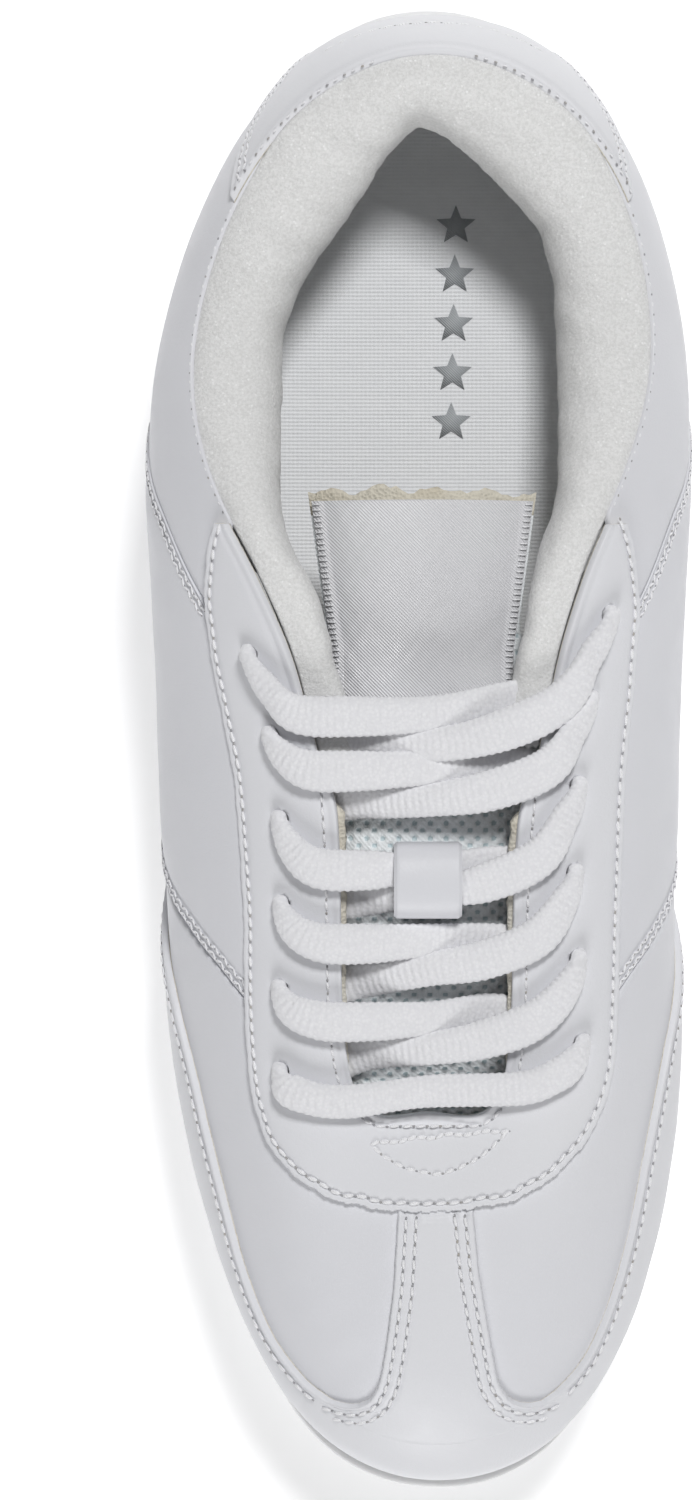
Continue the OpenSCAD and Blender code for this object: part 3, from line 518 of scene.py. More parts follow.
def stitch_line(u, v, d, pitch, length, wide, zigzag=0.0, tilt=0.12):
    """Lays stitches, with a dark bead of painted shade for a needle hole behind each, along a line on the last at depth
    d.
    """
    p, _, _, n = frame_at(u, v)
    p = p + np.asarray(d, float)[..., None] * n
    run = np.concatenate([[0], np.cumsum(np.linalg.norm(np.diff(p, axis=0), axis=1))])
    count = int(run[-1] / pitch)
    at = (np.arange(count) + 0.5) * run[-1] / count

    def along(q, where):
        return np.stack([np.interp(where, run, q[:, k]) for k in range(3)], 1)

    P, N, T = along(p, at), unit(along(n, at)), unit(along(p, at + .4) - along(p, at - .4))
    B = np.cross(N, T)
    turn = np.where(np.arange(count) % 2, zigzag, -zigzag) if zigzag else np.full(count, tilt)
    T2 = unit(T * np.cos(turn)[:, None] + B * np.sin(turn)[:, None])
    hole_length, hole_width = (.16, .12) if zigzag else (.3, .19)
    STITCHES.append((P, T2, np.cross(N, T2), N, np.full(count, length / 2), np.full(count, wide)))
    NEEDLE_HOLE_SHADES.append((P + T * pitch / 2 - N * .04, T, B, N, np.full(count, hole_length), np.full(count, hole_width)))


def build_stitches(name, rows, slot):
    """One mesh of all rows: each stitch is a bead with pointed ends that dip into the leather."""
    sides, angles = 6, np.arange(6) * TURN / 6
    bead = [(x, r * math.cos(a), r * math.sin(a)) for x,
            r in ((-.82, .62), (-.35, 1), (.35, 1), (.82, .62)) for a in angles]
    bead = np.array([(-1, 0, 0)] + bead + [(1, 0, 0)])
    last = len(bead) - 1
    f = [[0, 1 + (k + 1) % sides, 1 + k] for k in range(sides)] + tube_faces(4, sides, 1, caps=False)
    f += [[last, last - sides + k, last - sides + (k + 1) % sides] for k in range(sides)]
    P, T, B, N, L, W = (np.concatenate([s[i] for s in rows])[:, None] for i in range(6))
    x, y, z = (bead[None, :, k:k + 1] for k in range(3))
    L, W = L[..., None], W[..., None]
    verts = P + T * x * L + B * y * W + N * (z * 0.8 - 0.25 * x ** 4) * W
    faces = [[i + k * len(bead) for i in q] for k in range(len(P)) for q in f]
    return mesh_piece(name, verts.reshape(-1, 3), faces, slot)


# ---- camera: straight down, toe at the bottom
LENS, CAMERA_AT = 132.8, (-0.0129, 0.0, 1.0)
camera_data = bpy.data.cameras.new("camera")
camera_data.sensor_fit = "VERTICAL"
camera_data.sensor_height = 36.0
camera_data.lens = LENS
camera_data.dof.use_dof = False
camera_data.clip_end = 10.0
camera = bpy.data.objects.new("camera", camera_data)
camera.location = CAMERA_AT
bpy.context.scene.collection.objects.link(camera)
bpy.context.scene.camera = camera

# ---- shoelace


def eyelet_rib(side, i):
    """The rib of eyelet i, counted from the ankle, on one side."""
    return 5.4 - 0.472 * i if side > 0 else 5.16 - 0.46 * i


def eyelet_v(i):
    return 0.878 - 0.003 * i * i


def eyelet(side, i, d=0.0):
    return skin(side * eyelet_rib(side, i), eyelet_v(i), d)


def throat_middle(side, k):
    """The middle of the throat between rib k and the one across from it."""
    return (skin(side * k, 1) + skin(-side * (k - 0.3), 1)) / 2


LACE_W = 7.0
LACE_OVER, LACE_UNDER = 2.6, -2.6       # depths of the lace's middle over and under the leather
HEIGHT_OVER_THROAT = {LATERAL: 1.5, MEDIAL: 1.9}


def lengthways(side, k, v=1.0):
    """The direction along the shoe, towards the heel, at rib k."""
    _, su, _, _ = frame_at(side * k, v)
    return unit(su) * side


# For each crossing: the rib where it is over the throat's middle, and how far its hidden end is shifted
MIDDLE_RIB = {LATERAL: [4.94, 4.62, 4.018, 3.525, 2.91], MEDIAL: [4.755, 4.43, 3.846, 3.31, 2.62]}
FAR_SHIFT = {LATERAL: [-.04, .04, -.1, -.17, -.24], MEDIAL: [-.08, -.02, -.18, -.32, -.5]}
# How far along y, from eyelet to middle, three points of a crossing lie
DROP = {LATERAL: [.6, .92, 1.0], MEDIAL: [.3, .62, .8]}


def level_rib(side, v, y):
    """The rib that crosses y at height v on one side."""
    ks = np.linspace(1.5, 6, 1500)
    return float(np.interp(y, skin(side * ks, v + 0 * ks)[:, 1], ks))


def crossing(side, i):
    """Nodes of the lace from eyelet i on one side, over the throat, to under eyelet i + 1 on the other."""
    k, v, b, kb, vb, w = eyelet_rib(side, i), eyelet_v(i), -side, eyelet_rib(-side, i + 1), eyelet_v(i + 1), LACE_W / 2
    middle = throat_middle(MEDIAL, MIDDLE_RIB[side][i]) + [0, 0, HEIGHT_OVER_THROAT[side]]
    shift = FAR_SHIFT[side][i]
    a, c = lengthways(side, k), lengthways(b, kb)
    far = skin(b * (kb + shift), 1, LACE_UNDER - 0.4)

    def drop(at_v, n, lift):
        y = lerp(eyelet(side, i)[1], middle[1], DROP[side][n])
        return skin(side * level_rib(side, at_v, y), at_v, LACE_OVER + lift)

    return [(eyelet(side, i, -2.6), 1.3, 1.2, a), (eyelet(side, i, 1.9), 1.5, 1.35, a),
            (drop(v + 0.035, 0, 0.3), w * 0.82, 1.35, a),
            (drop(lerp(v, 1, 0.6), 1, 0.4), w * .97, 1.2, a),
            (lerp(drop(1, 2, 0.5), middle, 0.3), w, 1.1, a),
            (middle, w * (0.64 if i == 2 else .84), 1.1, lerp(a, c, .5)),
            (lerp(middle, far, 0.75), w * .92, 1.0, c),
            (skin(b * (kb + .7 * shift), lerp(vb, 1, 0.7), LACE_UNDER - 0.4), w * 0.9, .8, c),
            (skin(b * (kb + .2 * shift), lerp(vb, 1, 0.3), LACE_UNDER - 0.6), w * 0.5, .9, c)]


def chain(side):
    """All five crossings that follow from one side's top eyelet."""
    out = []
    for i in range(5):
        out += crossing(side, i)
        side = -side
    return out


BAR_POINTS = {LATERAL: [(2.74, .82), (2.49, .884), (2.12, .962)], MEDIAL: [(2.85, .838), (2.62, .89), (2.4, .937)]}


def bar(side):
    """One half of the straight bar between the front eyelets."""
    w, a = LACE_W / 2, lengthways(side, eyelet_rib(side, 5))
    out = [(eyelet(side, 5, -2.6), 1.3, 1.2, a), (eyelet(side, 5, 1.9), 1.5, 1.35, a)]
    for n, (k, v) in enumerate(BAR_POINTS[side]):
        out.append((skin(side * k, v, LACE_OVER + 0.4), w * .85, 1.25, a))
    return out


def spline(nodes, step):
    """A chord-length Catmull-Rom curve through the nodes' centres, evenly sampled, with their other values."""
    P = np.array([n[0] for n in nodes])
    t = np.concatenate([[0], np.cumsum(np.sqrt(np.linalg.norm(np.diff(P, axis=0), axis=1)))])
    V = np.array([np.concatenate([n[0], [n[1], n[2]], n[3]]) for n in nodes])
    m = np.gradient(V, t, axis=0)
    g = np.linspace(0, t[-1], 60 * len(nodes))
    i = np.clip(np.searchsorted(t, g, "right") - 1, 0, len(t) - 2)
    h = (t[i + 1] - t[i])[:, None]
    x = (g[:, None] - t[i][:, None]) / h
    C = ((2 * x**3 - 3 * x**2 + 1) * V[i] + (x**3 - 2 * x**2 + x) * h * m[i]
     + (3 * x**2 - 2 * x**3) * V[i + 1] + (x**3 - x**2) * h * m[i + 1])
    s = np.concatenate([[0], np.cumsum(np.linalg.norm(np.diff(C[:, :3], axis=0), axis=1))])
    at = np.arange(0, s[-1], step)
    return np.stack([np.interp(at, s, C[:, k]) for k in range(C.shape[1])], 1), at


WALE, KNIT_STEP = 1.15, 1.25        # width of the lace's knitted columns and length of its loops


def lace_tube(name, C, at, slot, sides=22, **kw):
    """A flat-oval knitted tube; C's columns are the centre, half width, half thickness and lengthways direction."""
    P, hw, ht, L = C[:, :3], C[:, 3], C[:, 4], C[:, 5:8]
    T = unit(np.gradient(P, axis=0))
    W = unit(L - (L * T).sum(1, keepdims=True) * T)
    B = np.cross(T, W)
    rng = np.random.default_rng(7)
    wob = sum(np.sin(at * f + rng.uniform(0, 6)) for f in (.11, .23, .41)) / 3
    hw = hw * (1 + 0.03 * wob)
    a = (np.arange(sides) + 0.5) * TURN / sides
    ca, sa = np.cos(a), np.sin(a)
    x = np.sign(ca) * np.abs(ca) ** 0.72
    y = np.sign(sa) * np.abs(sa) ** 0.86
    X = hw[:, None] * x[None]
    wale = X / WALE
    herring = np.cos(TURN * (at[:, None] / KNIT_STEP + np.abs(wale - np.round(wale))))
    column = 0.5 + 0.5 * np.cos(TURN * wale)
    lump = 0.10 * herring * (0.4 + 0.6 * column) + 0.05 * column
    Y = ht[:, None] * y[None] + lump * np.sign(y)[None] * np.abs(sa)[None] ** 0.5
    X = X + 0.09 * np.cos(TURN * at / KNIT_STEP)[:, None] * np.sign(x)[None] * np.abs(ca)[None] ** 3
    V = P[:, None] + W[:, None] * X[..., None] + B[:, None] * Y[..., None]
    return mesh_piece(name, V.reshape(-1, 3), tube_faces(len(P), sides), slot, **kw)


mid_bar = (throat_middle(LATERAL, 2.07) + [0, 0, 2.9], LACE_W * .42, 1.15, lengthways(MEDIAL, 2.0))
lace_nodes = chain(LATERAL) + bar(MEDIAL) + [mid_bar] + bar(LATERAL)[::-1] + chain(MEDIAL)[::-1]
C, at = spline(lace_nodes, 0.25)
lace_tube("shoelace_knit", C, at, "lace", hide=("shoelace",))

# The free ends: down inside from the top eyelets, folded on the insole under the tongue
TUCK = [[28, 14, 58], [31, 5, 48], [31, -8, 38], [29.5, -20, 30.8], [28, -33, 25.9], [27.5, -47, 24.3],
        [27, -60, 24.1], [24.5, -71, 24.1], [19.5, -78, 24.1], [13.5, -79, 24], [8, -74.5, 23.8], [5, -66, 23.6],
        [4.2, -55, 23.5], [4.2, -44, 23.9], [4.2, -38, 24.2]]
TIP = ([4.2, -37.6, 24.2], [4.2, -18, 25.4])
TIP_R = 1.5
for side, word in SIDES:
    pts = [eyelet(side, 0, -2.2), eyelet(side, 0, -5.5)] + [np.array(p, float) * [side, 1, 1] for p in TUCK]
    wide = [1.2, 1.6, 2.8, 2.8, 2.8] + [3.5] * 11 + [2.0]
    thin = [1.1, .9] + [.85] * 14 + [1.2]
    pts = np.array(pts)
    run = np.gradient(pts, axis=0)
    flat = unit(np.stack([-run[:, 1], run[:, 0], 0 * run[:, 0]], 1))
    C, at = spline(list(zip(pts, wide, thin, flat)), 0.3)
    o = lace_tube("free_lace_" + word, C, at, "lace", hide=("lace_end_" + word,))
    a, b = (np.array(p) * [side, 1, 1] for p in TIP)
    rings, seg = 26, 20
    t = np.linspace(0, 1, rings)
    r = TIP_R * np.where(t < .03, .9, 1) * np.where(t > .97, .8,
                                                    1) * (1 - 0.05 * (np.abs(t - .15) < .02)) + 0.05 * np.cos(t * 90)
    ang = np.arange(seg) * TURN / seg
    axis = unit(b - a)
    e1 = unit(np.cross(axis, [1, 0, 0]))
    e2 = np.cross(axis, e1)
    around = e1 * np.cos(ang)[:, None] + e2 * np.sin(ang)[:, None]
    V = (a + t[:, None] * (b - a))[:, None] + r[:, None, None] * around[None]
    tip = mesh_piece("tip_" + word, V.reshape(-1, 3), tube_faces(rings, seg), "tip_plastic", hide=("lace_tip_" + word,))

# ---- upper: base panels
FEATHER_V = 0.03        # height along a rib where the leather starts
SEAM_V = 0.815          # height along a rib where the quarter's front seam ends
QUARTER_END = 9.3       # rib where the quarters end, under the heel's cover
UNDERLAP = 0.05         # how far along a rib the base layer runs under the eyestay


def base_panel(name, side, place, across, up, hide, high=BASE_HIGH, **kw):
    """A base panel of one side, drawn in ribs counted from the toe on that side."""
    def put(S, T):
        K, V = place(S, T)
        return side * K, V
    return panel(name, across if side > 0 else across[::-1], up, put, BASE_LOW, high, "panel_leather", hide=hide, **kw)


for side, word in SIDES:
    def stay_edge(k):
        return EYESTAY(side * k) + UNDERLAP

    def vamp(S, T):
        low = np.maximum(FEATHER_V, 0.27 - 0.5 * smooth(S * 2.2 - 1.2))
        V = lerp(low, stay_edge(3.5 * S), T)
        K = lerp(0.0, FRONT(V) - 0.015, S)
        return K, np.minimum(V, stay_edge(K))

    base_panel("vamp_panel_" + word, side, vamp, np.linspace(0, 1, 70), np.linspace(0, 1, 60), ("vamp_" + word,),
               seed=3)

    def saddle(S, T):
        V = lerp(FEATHER_V, lerp(0.75, SEAM_V, S), T)
        return lerp(FRONT(V), REAR(V) - 0.012, S), V

    base_panel("saddle_panel_" + word, side, saddle, knots(60, 70), np.linspace(0, 1, 70), ("saddle_" + word,),
               high=BASE_HIGH + 0.35, roll=("s0", "s1"), grooves=(1.3, 3.2), puff=0.3, radius=0.5, seed=5)

    def quarter(S, T):
        front = REAR(lerp(FEATHER_V, SEAM_V, T)) + 0.012
        top_k = lerp(REAR(SEAM_V) + 0.012, QUARTER_END, S)
        top = np.minimum(TOPLINE(top_k) + .006, stay_edge(top_k))
        return lerp(front, QUARTER_END, S), lerp(FEATHER_V, top, T)

    base_panel("quarter_panel_" + word, side, quarter, np.linspace(0, 1, 90), knots(60, 60, .6), ("quarter_" + word,),
               roll=("t1",), radius=0.6, seed=7)


# ---- upper: overlays
def overlay(name, ss, ts, place, low=OVER_LOW, high=OVER_HIGH, **kw):
    """A panel of the outer layer, with the look of raw leather on its cut side walls."""
    o = panel(name, ss, ts, place, low, high, "overlay_leather", **kw)
    o.data.materials.append(MATS["backing_fabric"])
    faces, walls = 2 * (len(ss) - 1) * (len(ts) - 1), 2 * (len(ss) - 1) + 2 * (len(ts) - 1)
    if len(o.data.polygons) == faces + walls:
        o.data.polygons.foreach_set("material_index", [0] * faces + [1] * walls)
    return o


def cut(x, seed, size=0.10):
    """The small unevenness of a hand-guided knife along a seam, in millimetres."""
    rng = np.random.default_rng(seed)
    return size * sum(np.sin(x * f + rng.uniform(0, 6.28)) for f in (2.1, 5.3, 9.7, 17.0, 31.0)) / 2.2


RISE_V = 0.0105         # height along a rib that one millimetre takes near the seams


def mudguard(S, T):
    top = RIDGE(S) + 0.065 * (1 - smooth((np.abs(S) - .7) / .45)) + cut(S * 3, 11) * RISE_V
    return S, lerp(FEATHER_V, top, T)


overlay("mudguard", np.linspace(-4.32, 4.32, 330), knots(26, 48, .5, 1.5), mudguard, hide=("toe_overlay",),
        roll=("t1",),
        grooves=(1.5,), puff=0.2, radius=0.45, seed=11)
STRIP_FOOT, STRIP_TOP = 0.345, 0.905        # the centre strip's ends, in height along a rib


def toe_strip(S, T):
    V = lerp(STRIP_FOOT, STRIP_TOP, T)
    left, right = -STRIP[LATERAL](V) + cut(V * 60, 21) * .035, STRIP[MEDIAL](V) + cut(V * 60, 22) * .035
    return lerp(left, right, S), V


# the strip's ends dip under the eyestay and into the mudguard
strip_t = np.linspace(0, 1, 120)
strip_v = lerp(STRIP_FOOT, STRIP_TOP, strip_t)
strip_dip = 0.75 * smooth((strip_v - .858) / .012) + 1.3 * smooth((.395 - strip_v) / .05)
overlay("toe_strip", knots(70, 30, .4, 1.5), strip_t, toe_strip, OVER_LOW - .1, OVER_HIGH - strip_dip[None, :],
        roll=("s0", "s1"), grooves=(1.5, 3.3), puff=0.2, radius=0.4, seed=11)


def heel_piece(S, T):
    V = lerp(FEATHER_V, 0.97, T)
    reach_k = HEEL - HEEL_EDGE(V) + cut(V * 60, 31) * .02
    U = HEEL + S * reach_k
    return U, lerp(FEATHER_V, TOPLINE(U), T)


overlay("heel_counter_cover", 2 * knots(90, 90, .5, 1.6) - 1, np.linspace(0, 1, 90), heel_piece, hide=("heel_overlay",),
        roll=("s0", "s1", "t1"), grooves=(1.6,), puff=0.25, radius=0.45, seed=17)


def throat_edge(U):
    """The eyestay's inner cut edge, which runs into the top line of the quarters."""
    return TOPLINE(np.abs(U)) + 0.018 * (1 - smooth(np.abs(U) / 1.7))


def eyestay(S, T):
    low = EYESTAY(S) + cut(S * 3.3, 41, 0.16) * RISE_V
    return S, lerp(low, throat_edge(S), T)


stay = overlay("eyestay_leather", np.linspace(-5.93, 5.93, 420), knots(30, 24, .5, 1.6), eyestay, roll=("t0", "t1"),
               grooves=(1.6,), puff=0.1, hide=("eyestay",), radius=0.45, seed=19)


def backing(S, T):
    """The cloth behind the eyestay, whose cut edge shows in the throat."""
    per_mm = 1 / np.linalg.norm(frame_at(S, 1.0)[2], axis=-1)
    out = (1.5 * smooth((np.abs(S) - 1.9) / .7) - 0.4) + cut(S * 5, 51, .15)
    tucked = smooth((np.abs(S) - 4.15) / .25)
    return S, lerp(EYESTAY(S) + 0.075, 1 + out * per_mm * (1 - tucked) - .06 * tucked, T)


under = panel("eyestay_backing_cloth", np.linspace(-4.95, 4.95, 300), knots(16, 20, .3), backing, BASE_LOW, BASE_HIGH,
              "backing_fabric", roll=("t1",), hide=("eyestay_backing",), radius=0.3, seed=23)


def punch(target, radius):
    """Cuts the twelve lace holes through a layer."""
    verts, faces, seg = [], [], 18
    for side in (LATERAL, MEDIAL):
        for i in range(6):
            p, n = eyelet(side, i), unit(eyelet(side, i, 1) - eyelet(side, i))
            e1 = unit(np.cross(n, [0, 1, 0]))
            e2 = np.cross(n, e1)
            base = len(verts)
            for h in (-4, 4):
                for a in np.arange(seg) * TURN / seg:
                    verts.append(p + n * h + radius * (e1 * math.cos(a) + e2 * math.sin(a)))
            faces += tube_faces(2, seg, base)
    me = bpy.data.meshes.new("punches")
    me.from_pydata((np.array(verts) * MM).tolist(), [], faces)
    tool = bpy.data.objects.new("punches", me)
    bpy.context.scene.collection.objects.link(tool)
    mod = target.modifiers.new("punch", "BOOLEAN")
    mod.operation, mod.solver, mod.object = "DIFFERENCE", "EXACT", tool
    bpy.context.view_layer.update()
    done = bpy.data.meshes.new_from_object(target.evaluated_get(bpy.context.evaluated_depsgraph_get()))
    target.modifiers.clear()
    target.data = done
    bpy.data.objects.remove(tool)


punch(stay, 1.55)
punch(under, 1.86)


def lining(S, T):
    return S, lerp(0.05, EYESTAY(S) + 0.02, T)


panel("vamp_lining_cloth", np.linspace(-5.3, 5.3, 160), np.linspace(0, 1, 30), lining, LINING_LOW, LINING_HIGH,
      "backing_fabric", hide=("vamp_lining",), seed=29)

# ---- padded collar
# Its inner outline in plan, from the medial throat round the heel's point to the lateral throat
INNER = np.array([(10.5, -8), (11.5, -2), (13.2, 5), (15, 11.6), (16.8, 17.9), (18.5, 29.5), (20.2, 35.3), (23.0, 43),
                  (23.5, 55), (23.3, 68), (23.0, 79.5),
                  (20.6, 88.6), (15.6, 94.6), (8.8, 101.0), (2.6, 105.2), (-.8, 106.2), (-3.9, 104.0), (-8.6, 98.0),
                  (-13.2, 90.8), (-20.4, 81.0),
                  (-24.1, 71), (-24.3, 55), (-24.3, 42), (-23.3, 37.5), (-20.9, 31.8), (-17.3, 25), (-15.2, 15.6),
                  (-14, 9.2), (-12.6, 2), (-11, -4),
                  (-10, -10)])


COLLAR_START, COLLAR_STOP = 4.62, RIBS - 4.5        # the ribs where the padding ends, medial and lateral
EDGE_D = -1.8           # depth of the padding's crest under the top edge
MIN_WIDTH = 4.2         # of the padding, in plan
ROLL_T = 0.55           # share of the cover's profile that is the roll; the rest is the wall


def reach(u):
    """How far in from the top edge the collar's padding comes at each rib."""
    start = skin(u, 1.0, EDGE_D)[..., :2]
    into = inwards(u)[..., :2]
    out = np.full(u.shape, FAR)
    for a, b in zip(INNER[:-1], INNER[1:]):
        e = b - a
        det = into[:, 0] * -e[1] + into[:, 1] * e[0]
        r = a - start
        t = (r[:, 0] * -e[1] + r[:, 1] * e[0]) / det
        s = (into[:, 0] * r[:, 1] - into[:, 1] * r[:, 0]) / det
        ok = (s >= -0.001) & (s <= 1.001) & (t > 0.5)
        out = np.where(ok, np.minimum(out, t), out)
    good = out < FAR
    return np.interp(u, u[good], out[good])


def from_toe(u):
    """A rib's number counted from the toe on its own side."""
    return np.where(u <= HEEL, u, RIBS - u)


def collar_cover(u, t, w):
    """Profile of the padding's cover: a roll over the top edge, then a wall down to the insole."""
    k = from_toe(u)
    into, full = inwards(u), smooth((k - 5.3) / 0.9)        # full: 0 where the padding thins out by the throat
    up = np.array([0, 0, 1.0])
    rise = lerp(1.5, 3.4, full)
    W = np.maximum(w - 0.9, 3.4)[:, None]
    line = TOPLINE(u)
    dipped = smooth((1 - line) / .03)
    crest = skin(u, 1.0, EDGE_D + 0 * u) + into * 0.8
    start = skin(u, line, lerp(lerp(EDGE_D, -0.75, dipped), 0.35, smooth((k - 8.0) / .6)))
    out = lerp(0.3, 0.12, dipped)[:, None]
    q1 = crest + into * (out * W) + rise[:, None] * up
    q2 = crest + into * 1.06 * W + rise[:, None] * up
    q3 = crest + into * 1.03 * W - lerp(3.0, 8.0, full)[:, None] * up
    low = feather(u) + into * (2.4 + 0.9 * smooth((k - 8.6) / 0.8)[:, None]) + 1.5 * up
    F = full[:, None]
    foot = lerp(q3 - into * 0.35 * W - 2.5 * up, low, F)
    q4 = lerp(lerp(q3, foot, 0.35), skin(u, 0.5 + 0 * u) + into * 5.5, F)
    q5 = lerp(lerp(q3, foot, 0.75), skin(u, 0.25 + 0 * u) + into * 5, F)
    shape = (len(u), len(t))
    roll = bez(np.stack([start, q1, q2, q3], 1)[:, None], np.broadcast_to(np.minimum(t / ROLL_T, 1), shape))
    wall = bez(np.stack([q3, q4, q5, foot], 1)[:, None],
               np.broadcast_to(np.maximum((t - ROLL_T) / (1 - ROLL_T), 0), shape))
    return np.where((t < ROLL_T)[None, :, None], roll, wall)


def collar_back(u, t):
    """The padding's hidden side, against the lining."""
    full = smooth((from_toe(u) - 5.6) / 0.5)
    V = lerp(TOPLINE(u)[:, None] - .01, lerp(0.95, 0.1, full)[:, None], t[None])
    return skin(np.broadcast_to(u[:, None], V.shape), V, LINING_HIGH + .05)


def in_line(x):
    """Points along a straight line, where a ripple is wanted along one value only."""
    return np.stack([x, 0 * x, 0 * x], -1)


collar_u = np.linspace(COLLAR_START, COLLAR_STOP, 460)
collar_t = np.concatenate([np.linspace(0, ROLL_T, 34), np.linspace(ROLL_T + .02, 1, 22)])
w_in = reach(collar_u)
kernel = np.hanning(15) / np.hanning(15).sum()
w_in = np.convolve(np.pad(w_in, 7, mode="edge"), kernel, "valid")
taper = smooth((collar_u - COLLAR_START) / .5) * smooth((COLLAR_STOP - collar_u) / .5)
w_in = np.maximum(w_in * (0.7 + 0.3 * taper), MIN_WIDTH) + 0.25 * ripple(in_line(collar_u * 9), 4, 61)
front = collar_cover(collar_u, collar_t, w_in)
du, dt = np.gradient(front, axis=0), np.gradient(front, axis=1)
N = unit(np.cross(dt, du))
N *= np.sign(N[230, 10, 2])         # upwards on the roll at the heel
fluff = 0.30 * ripple(front, 19, 63) + 0.10 * ripple(front, 5.0, 64) + 0.07 * ripple(front, 1.6, 65)
soft = smooth(collar_t / 0.06)[None] * smooth((1 - collar_t) / .1)[None]
crumple = 0.9 * np.maximum(0, ripple(front, 11, 66) - .25) * smooth((collar_t - .45) / .2)[None]
front = front + N * ((fluff - crumple) * soft)[..., None]
rag = ripple(in_line(collar_t * 30), 3.0, 67) * 1.2         # the cut ends of the cover are ragged
for rows, fade in ((slice(0, 5), np.linspace(1, 0, 5)), (slice(-5, None), np.linspace(0, 1, 5))):
    front[rows] += (fade[:, None] * rag[None])[..., None] * unit(du[rows])
collar = slab("collar_padding", front, collar_back(collar_u, collar_t), "collar_fabric",
              hide=("collar_foam", "collar_lining"))
# how far down the cover's inner wall each point lies; the pile material darkens it there as painted shade
wall = np.broadcast_to(smooth((collar_t - .6) / .15)[None], front.shape[:2]).ravel()
wall_shade = collar.data.attributes.new("wall", "FLOAT", "POINT")
wall_shade.data.foreach_set("value", np.concatenate([wall, wall]).astype(np.float32))

# ---- tongue
LINE = np.array([[0, -74, 42], [0, -48, 56], [0, -5, 65], [0, 44, 65.4]],
                float)       # the tongue's middle, toe to ankle
FLIP_Y, CROWN, TONGUE_HALF = 17.0, 9.0, 22.0
TONGUE_RUN = 140        # millimetres of mesh pattern over the tongue's length


def tongue_t(y):
    """How far along the tongue y lies, from 0 to 1."""
    g = np.linspace(0, 1, 2000)
    return np.interp(y, bez(np.broadcast_to(LINE, (2000, 4, 3)), g)[:, 1], g)


def tongue_at(x, t, d):
    """A point on the tongue, x from its middle and d out from its face."""
    x, t, d = np.broadcast_arrays(*(np.asarray(q, float) for q in (x, t, d)))
    P = np.broadcast_to(LINE, t.shape + (4, 3))
    p, run = bez(P, t), unit(bez_d(P, t))
    drop = lerp(3, CROWN, smooth(2 * t)) * (x / TONGUE_HALF) ** 2
    out = p.copy()
    out[..., 0] += x
    out[..., 2] += -drop + d * run[..., 1]
    out[..., 1] += -d * run[..., 2]
    return out


FLIP_T = float(tongue_t(FLIP_Y))


def tongue_half(t):
    top = 15.8 + 3.7 * (t - FLIP_T) / (1 - FLIP_T)
    return lerp(TONGUE_HALF, top, smooth((t - FLIP_T + .06) / .10))


EYE_X, EYE_Y = 2.7, 2.9         # pitch of the spacer mesh's staggered eyes
S, T = np.meshgrid(np.linspace(-1, 1, 150), np.linspace(0, 0.972, 330), indexing="ij")
X = S * tongue_half(T)
holes = smooth((np.cos(TURN * X / EYE_X) * np.cos(TURN * T * TONGUE_RUN / EYE_Y) - .2) / .5)
dome = 0.25 * ripple(tongue_at(X, T, 0), 17, 71)
edge = smooth((1 - np.abs(S)) / .06)
tongue = slab("tongue_spacer_mesh", tongue_at(X, T, 0.05 - 0.55 * holes * edge + dome * edge), tongue_at(X, T, -1.0),
              "tongue_mesh",
              hide=("tongue_mesh", "tongue_top_mesh"), ride=False)
# the eyes' openness, which the mesh material darkens as painted shade
openness = tongue.data.attributes.new("open", "FLOAT", "POINT")
openness.data.foreach_set("value", np.concatenate([(holes * edge).ravel(), np.zeros(holes.size)]).astype(np.float32))
pad_s, pad_t = knots(40, 40, 1.2), np.linspace(0, 1, 160)
S, T = np.meshgrid(2 * pad_s - 1, pad_t, indexing="ij")
raw = ripple(in_line(S * 20), 3.5, 73) * .006 + ripple(in_line(S * 20), 14, 74) * .012      # its torn end
T = T * (1 + raw * smooth((T - .9) / .1))
bulge = np.sqrt(np.maximum(0, 1 - S**8))
X = S * tongue_half(T)
foam = slab("tongue_padding", tongue_at(X, T, -1.1 + 0.1 * bulge), tongue_at(X, T, -2.2 - 2.2 * bulge), "foam",
            hide=("tongue_foam", "tongue_top_foam"), ride=False)

# Satin label on the tongue, with ladder-stitched selvedges
LABEL_FRONT, LABEL_END, LABEL_MID = 7.0, 42.3, 26.0         # along y
lab_s, lab_t = knots(70, 38, .5), np.linspace(float(tongue_t(LABEL_FRONT)), float(tongue_t(LABEL_END)), 150)
S, T = np.meshgrid(2 * lab_s - 1, lab_t, indexing="ij")


def label_half(t):
    return 15.5 + 3.6 * np.clip((t - FLIP_T) / (1 - FLIP_T), 0, 1)


WAVE = 0.35         # height of the label's broad waves
X = S * label_half(T)
at0 = tongue_at(X, T, 0)
wave_h = WAVE * ripple(at0, 23, 81) + .08 * ripple(at0, 6, 82)
inset = (1 - np.abs(S)) * label_half(T)
hem = 0.22 * np.exp(-(((inset - 1.0) / 0.5) ** 2)) + 0.16 * smooth((2.1 - inset) / .5)
label = slab("tongue_label_satin", tongue_at(X, T, 0.75 + wave_h + hem), tongue_at(X, T, 0.35 + wave_h), "satin",
             hide=("tongue_label",), ride=False)
flat_l = float(np.linalg.norm(np.diff(tongue_at(0 * lab_t, lab_t, 0), axis=0), axis=1).sum())

# ladder stitches down both selvedges
ladder_v, ladder_f = [], []


def rod(a, b, r, seg=6):
    """A short round-ended thread from a to b."""
    axis = unit(b - a)
    e1 = unit(np.cross(axis, [0.3, 0.9, 0.1]))
    e2 = np.cross(axis, e1)
    base = len(ladder_v)
    for t, q in ((0, .5), (.12, 1), (.88, 1), (1, .5)):
        for k in range(seg):
            c = TURN * k / seg
            ladder_v.append(a + (b - a) * t + r * q * (e1 * math.cos(c) + e2 * math.sin(c)))
    ladder_f.extend(tube_faces(4, seg, base))


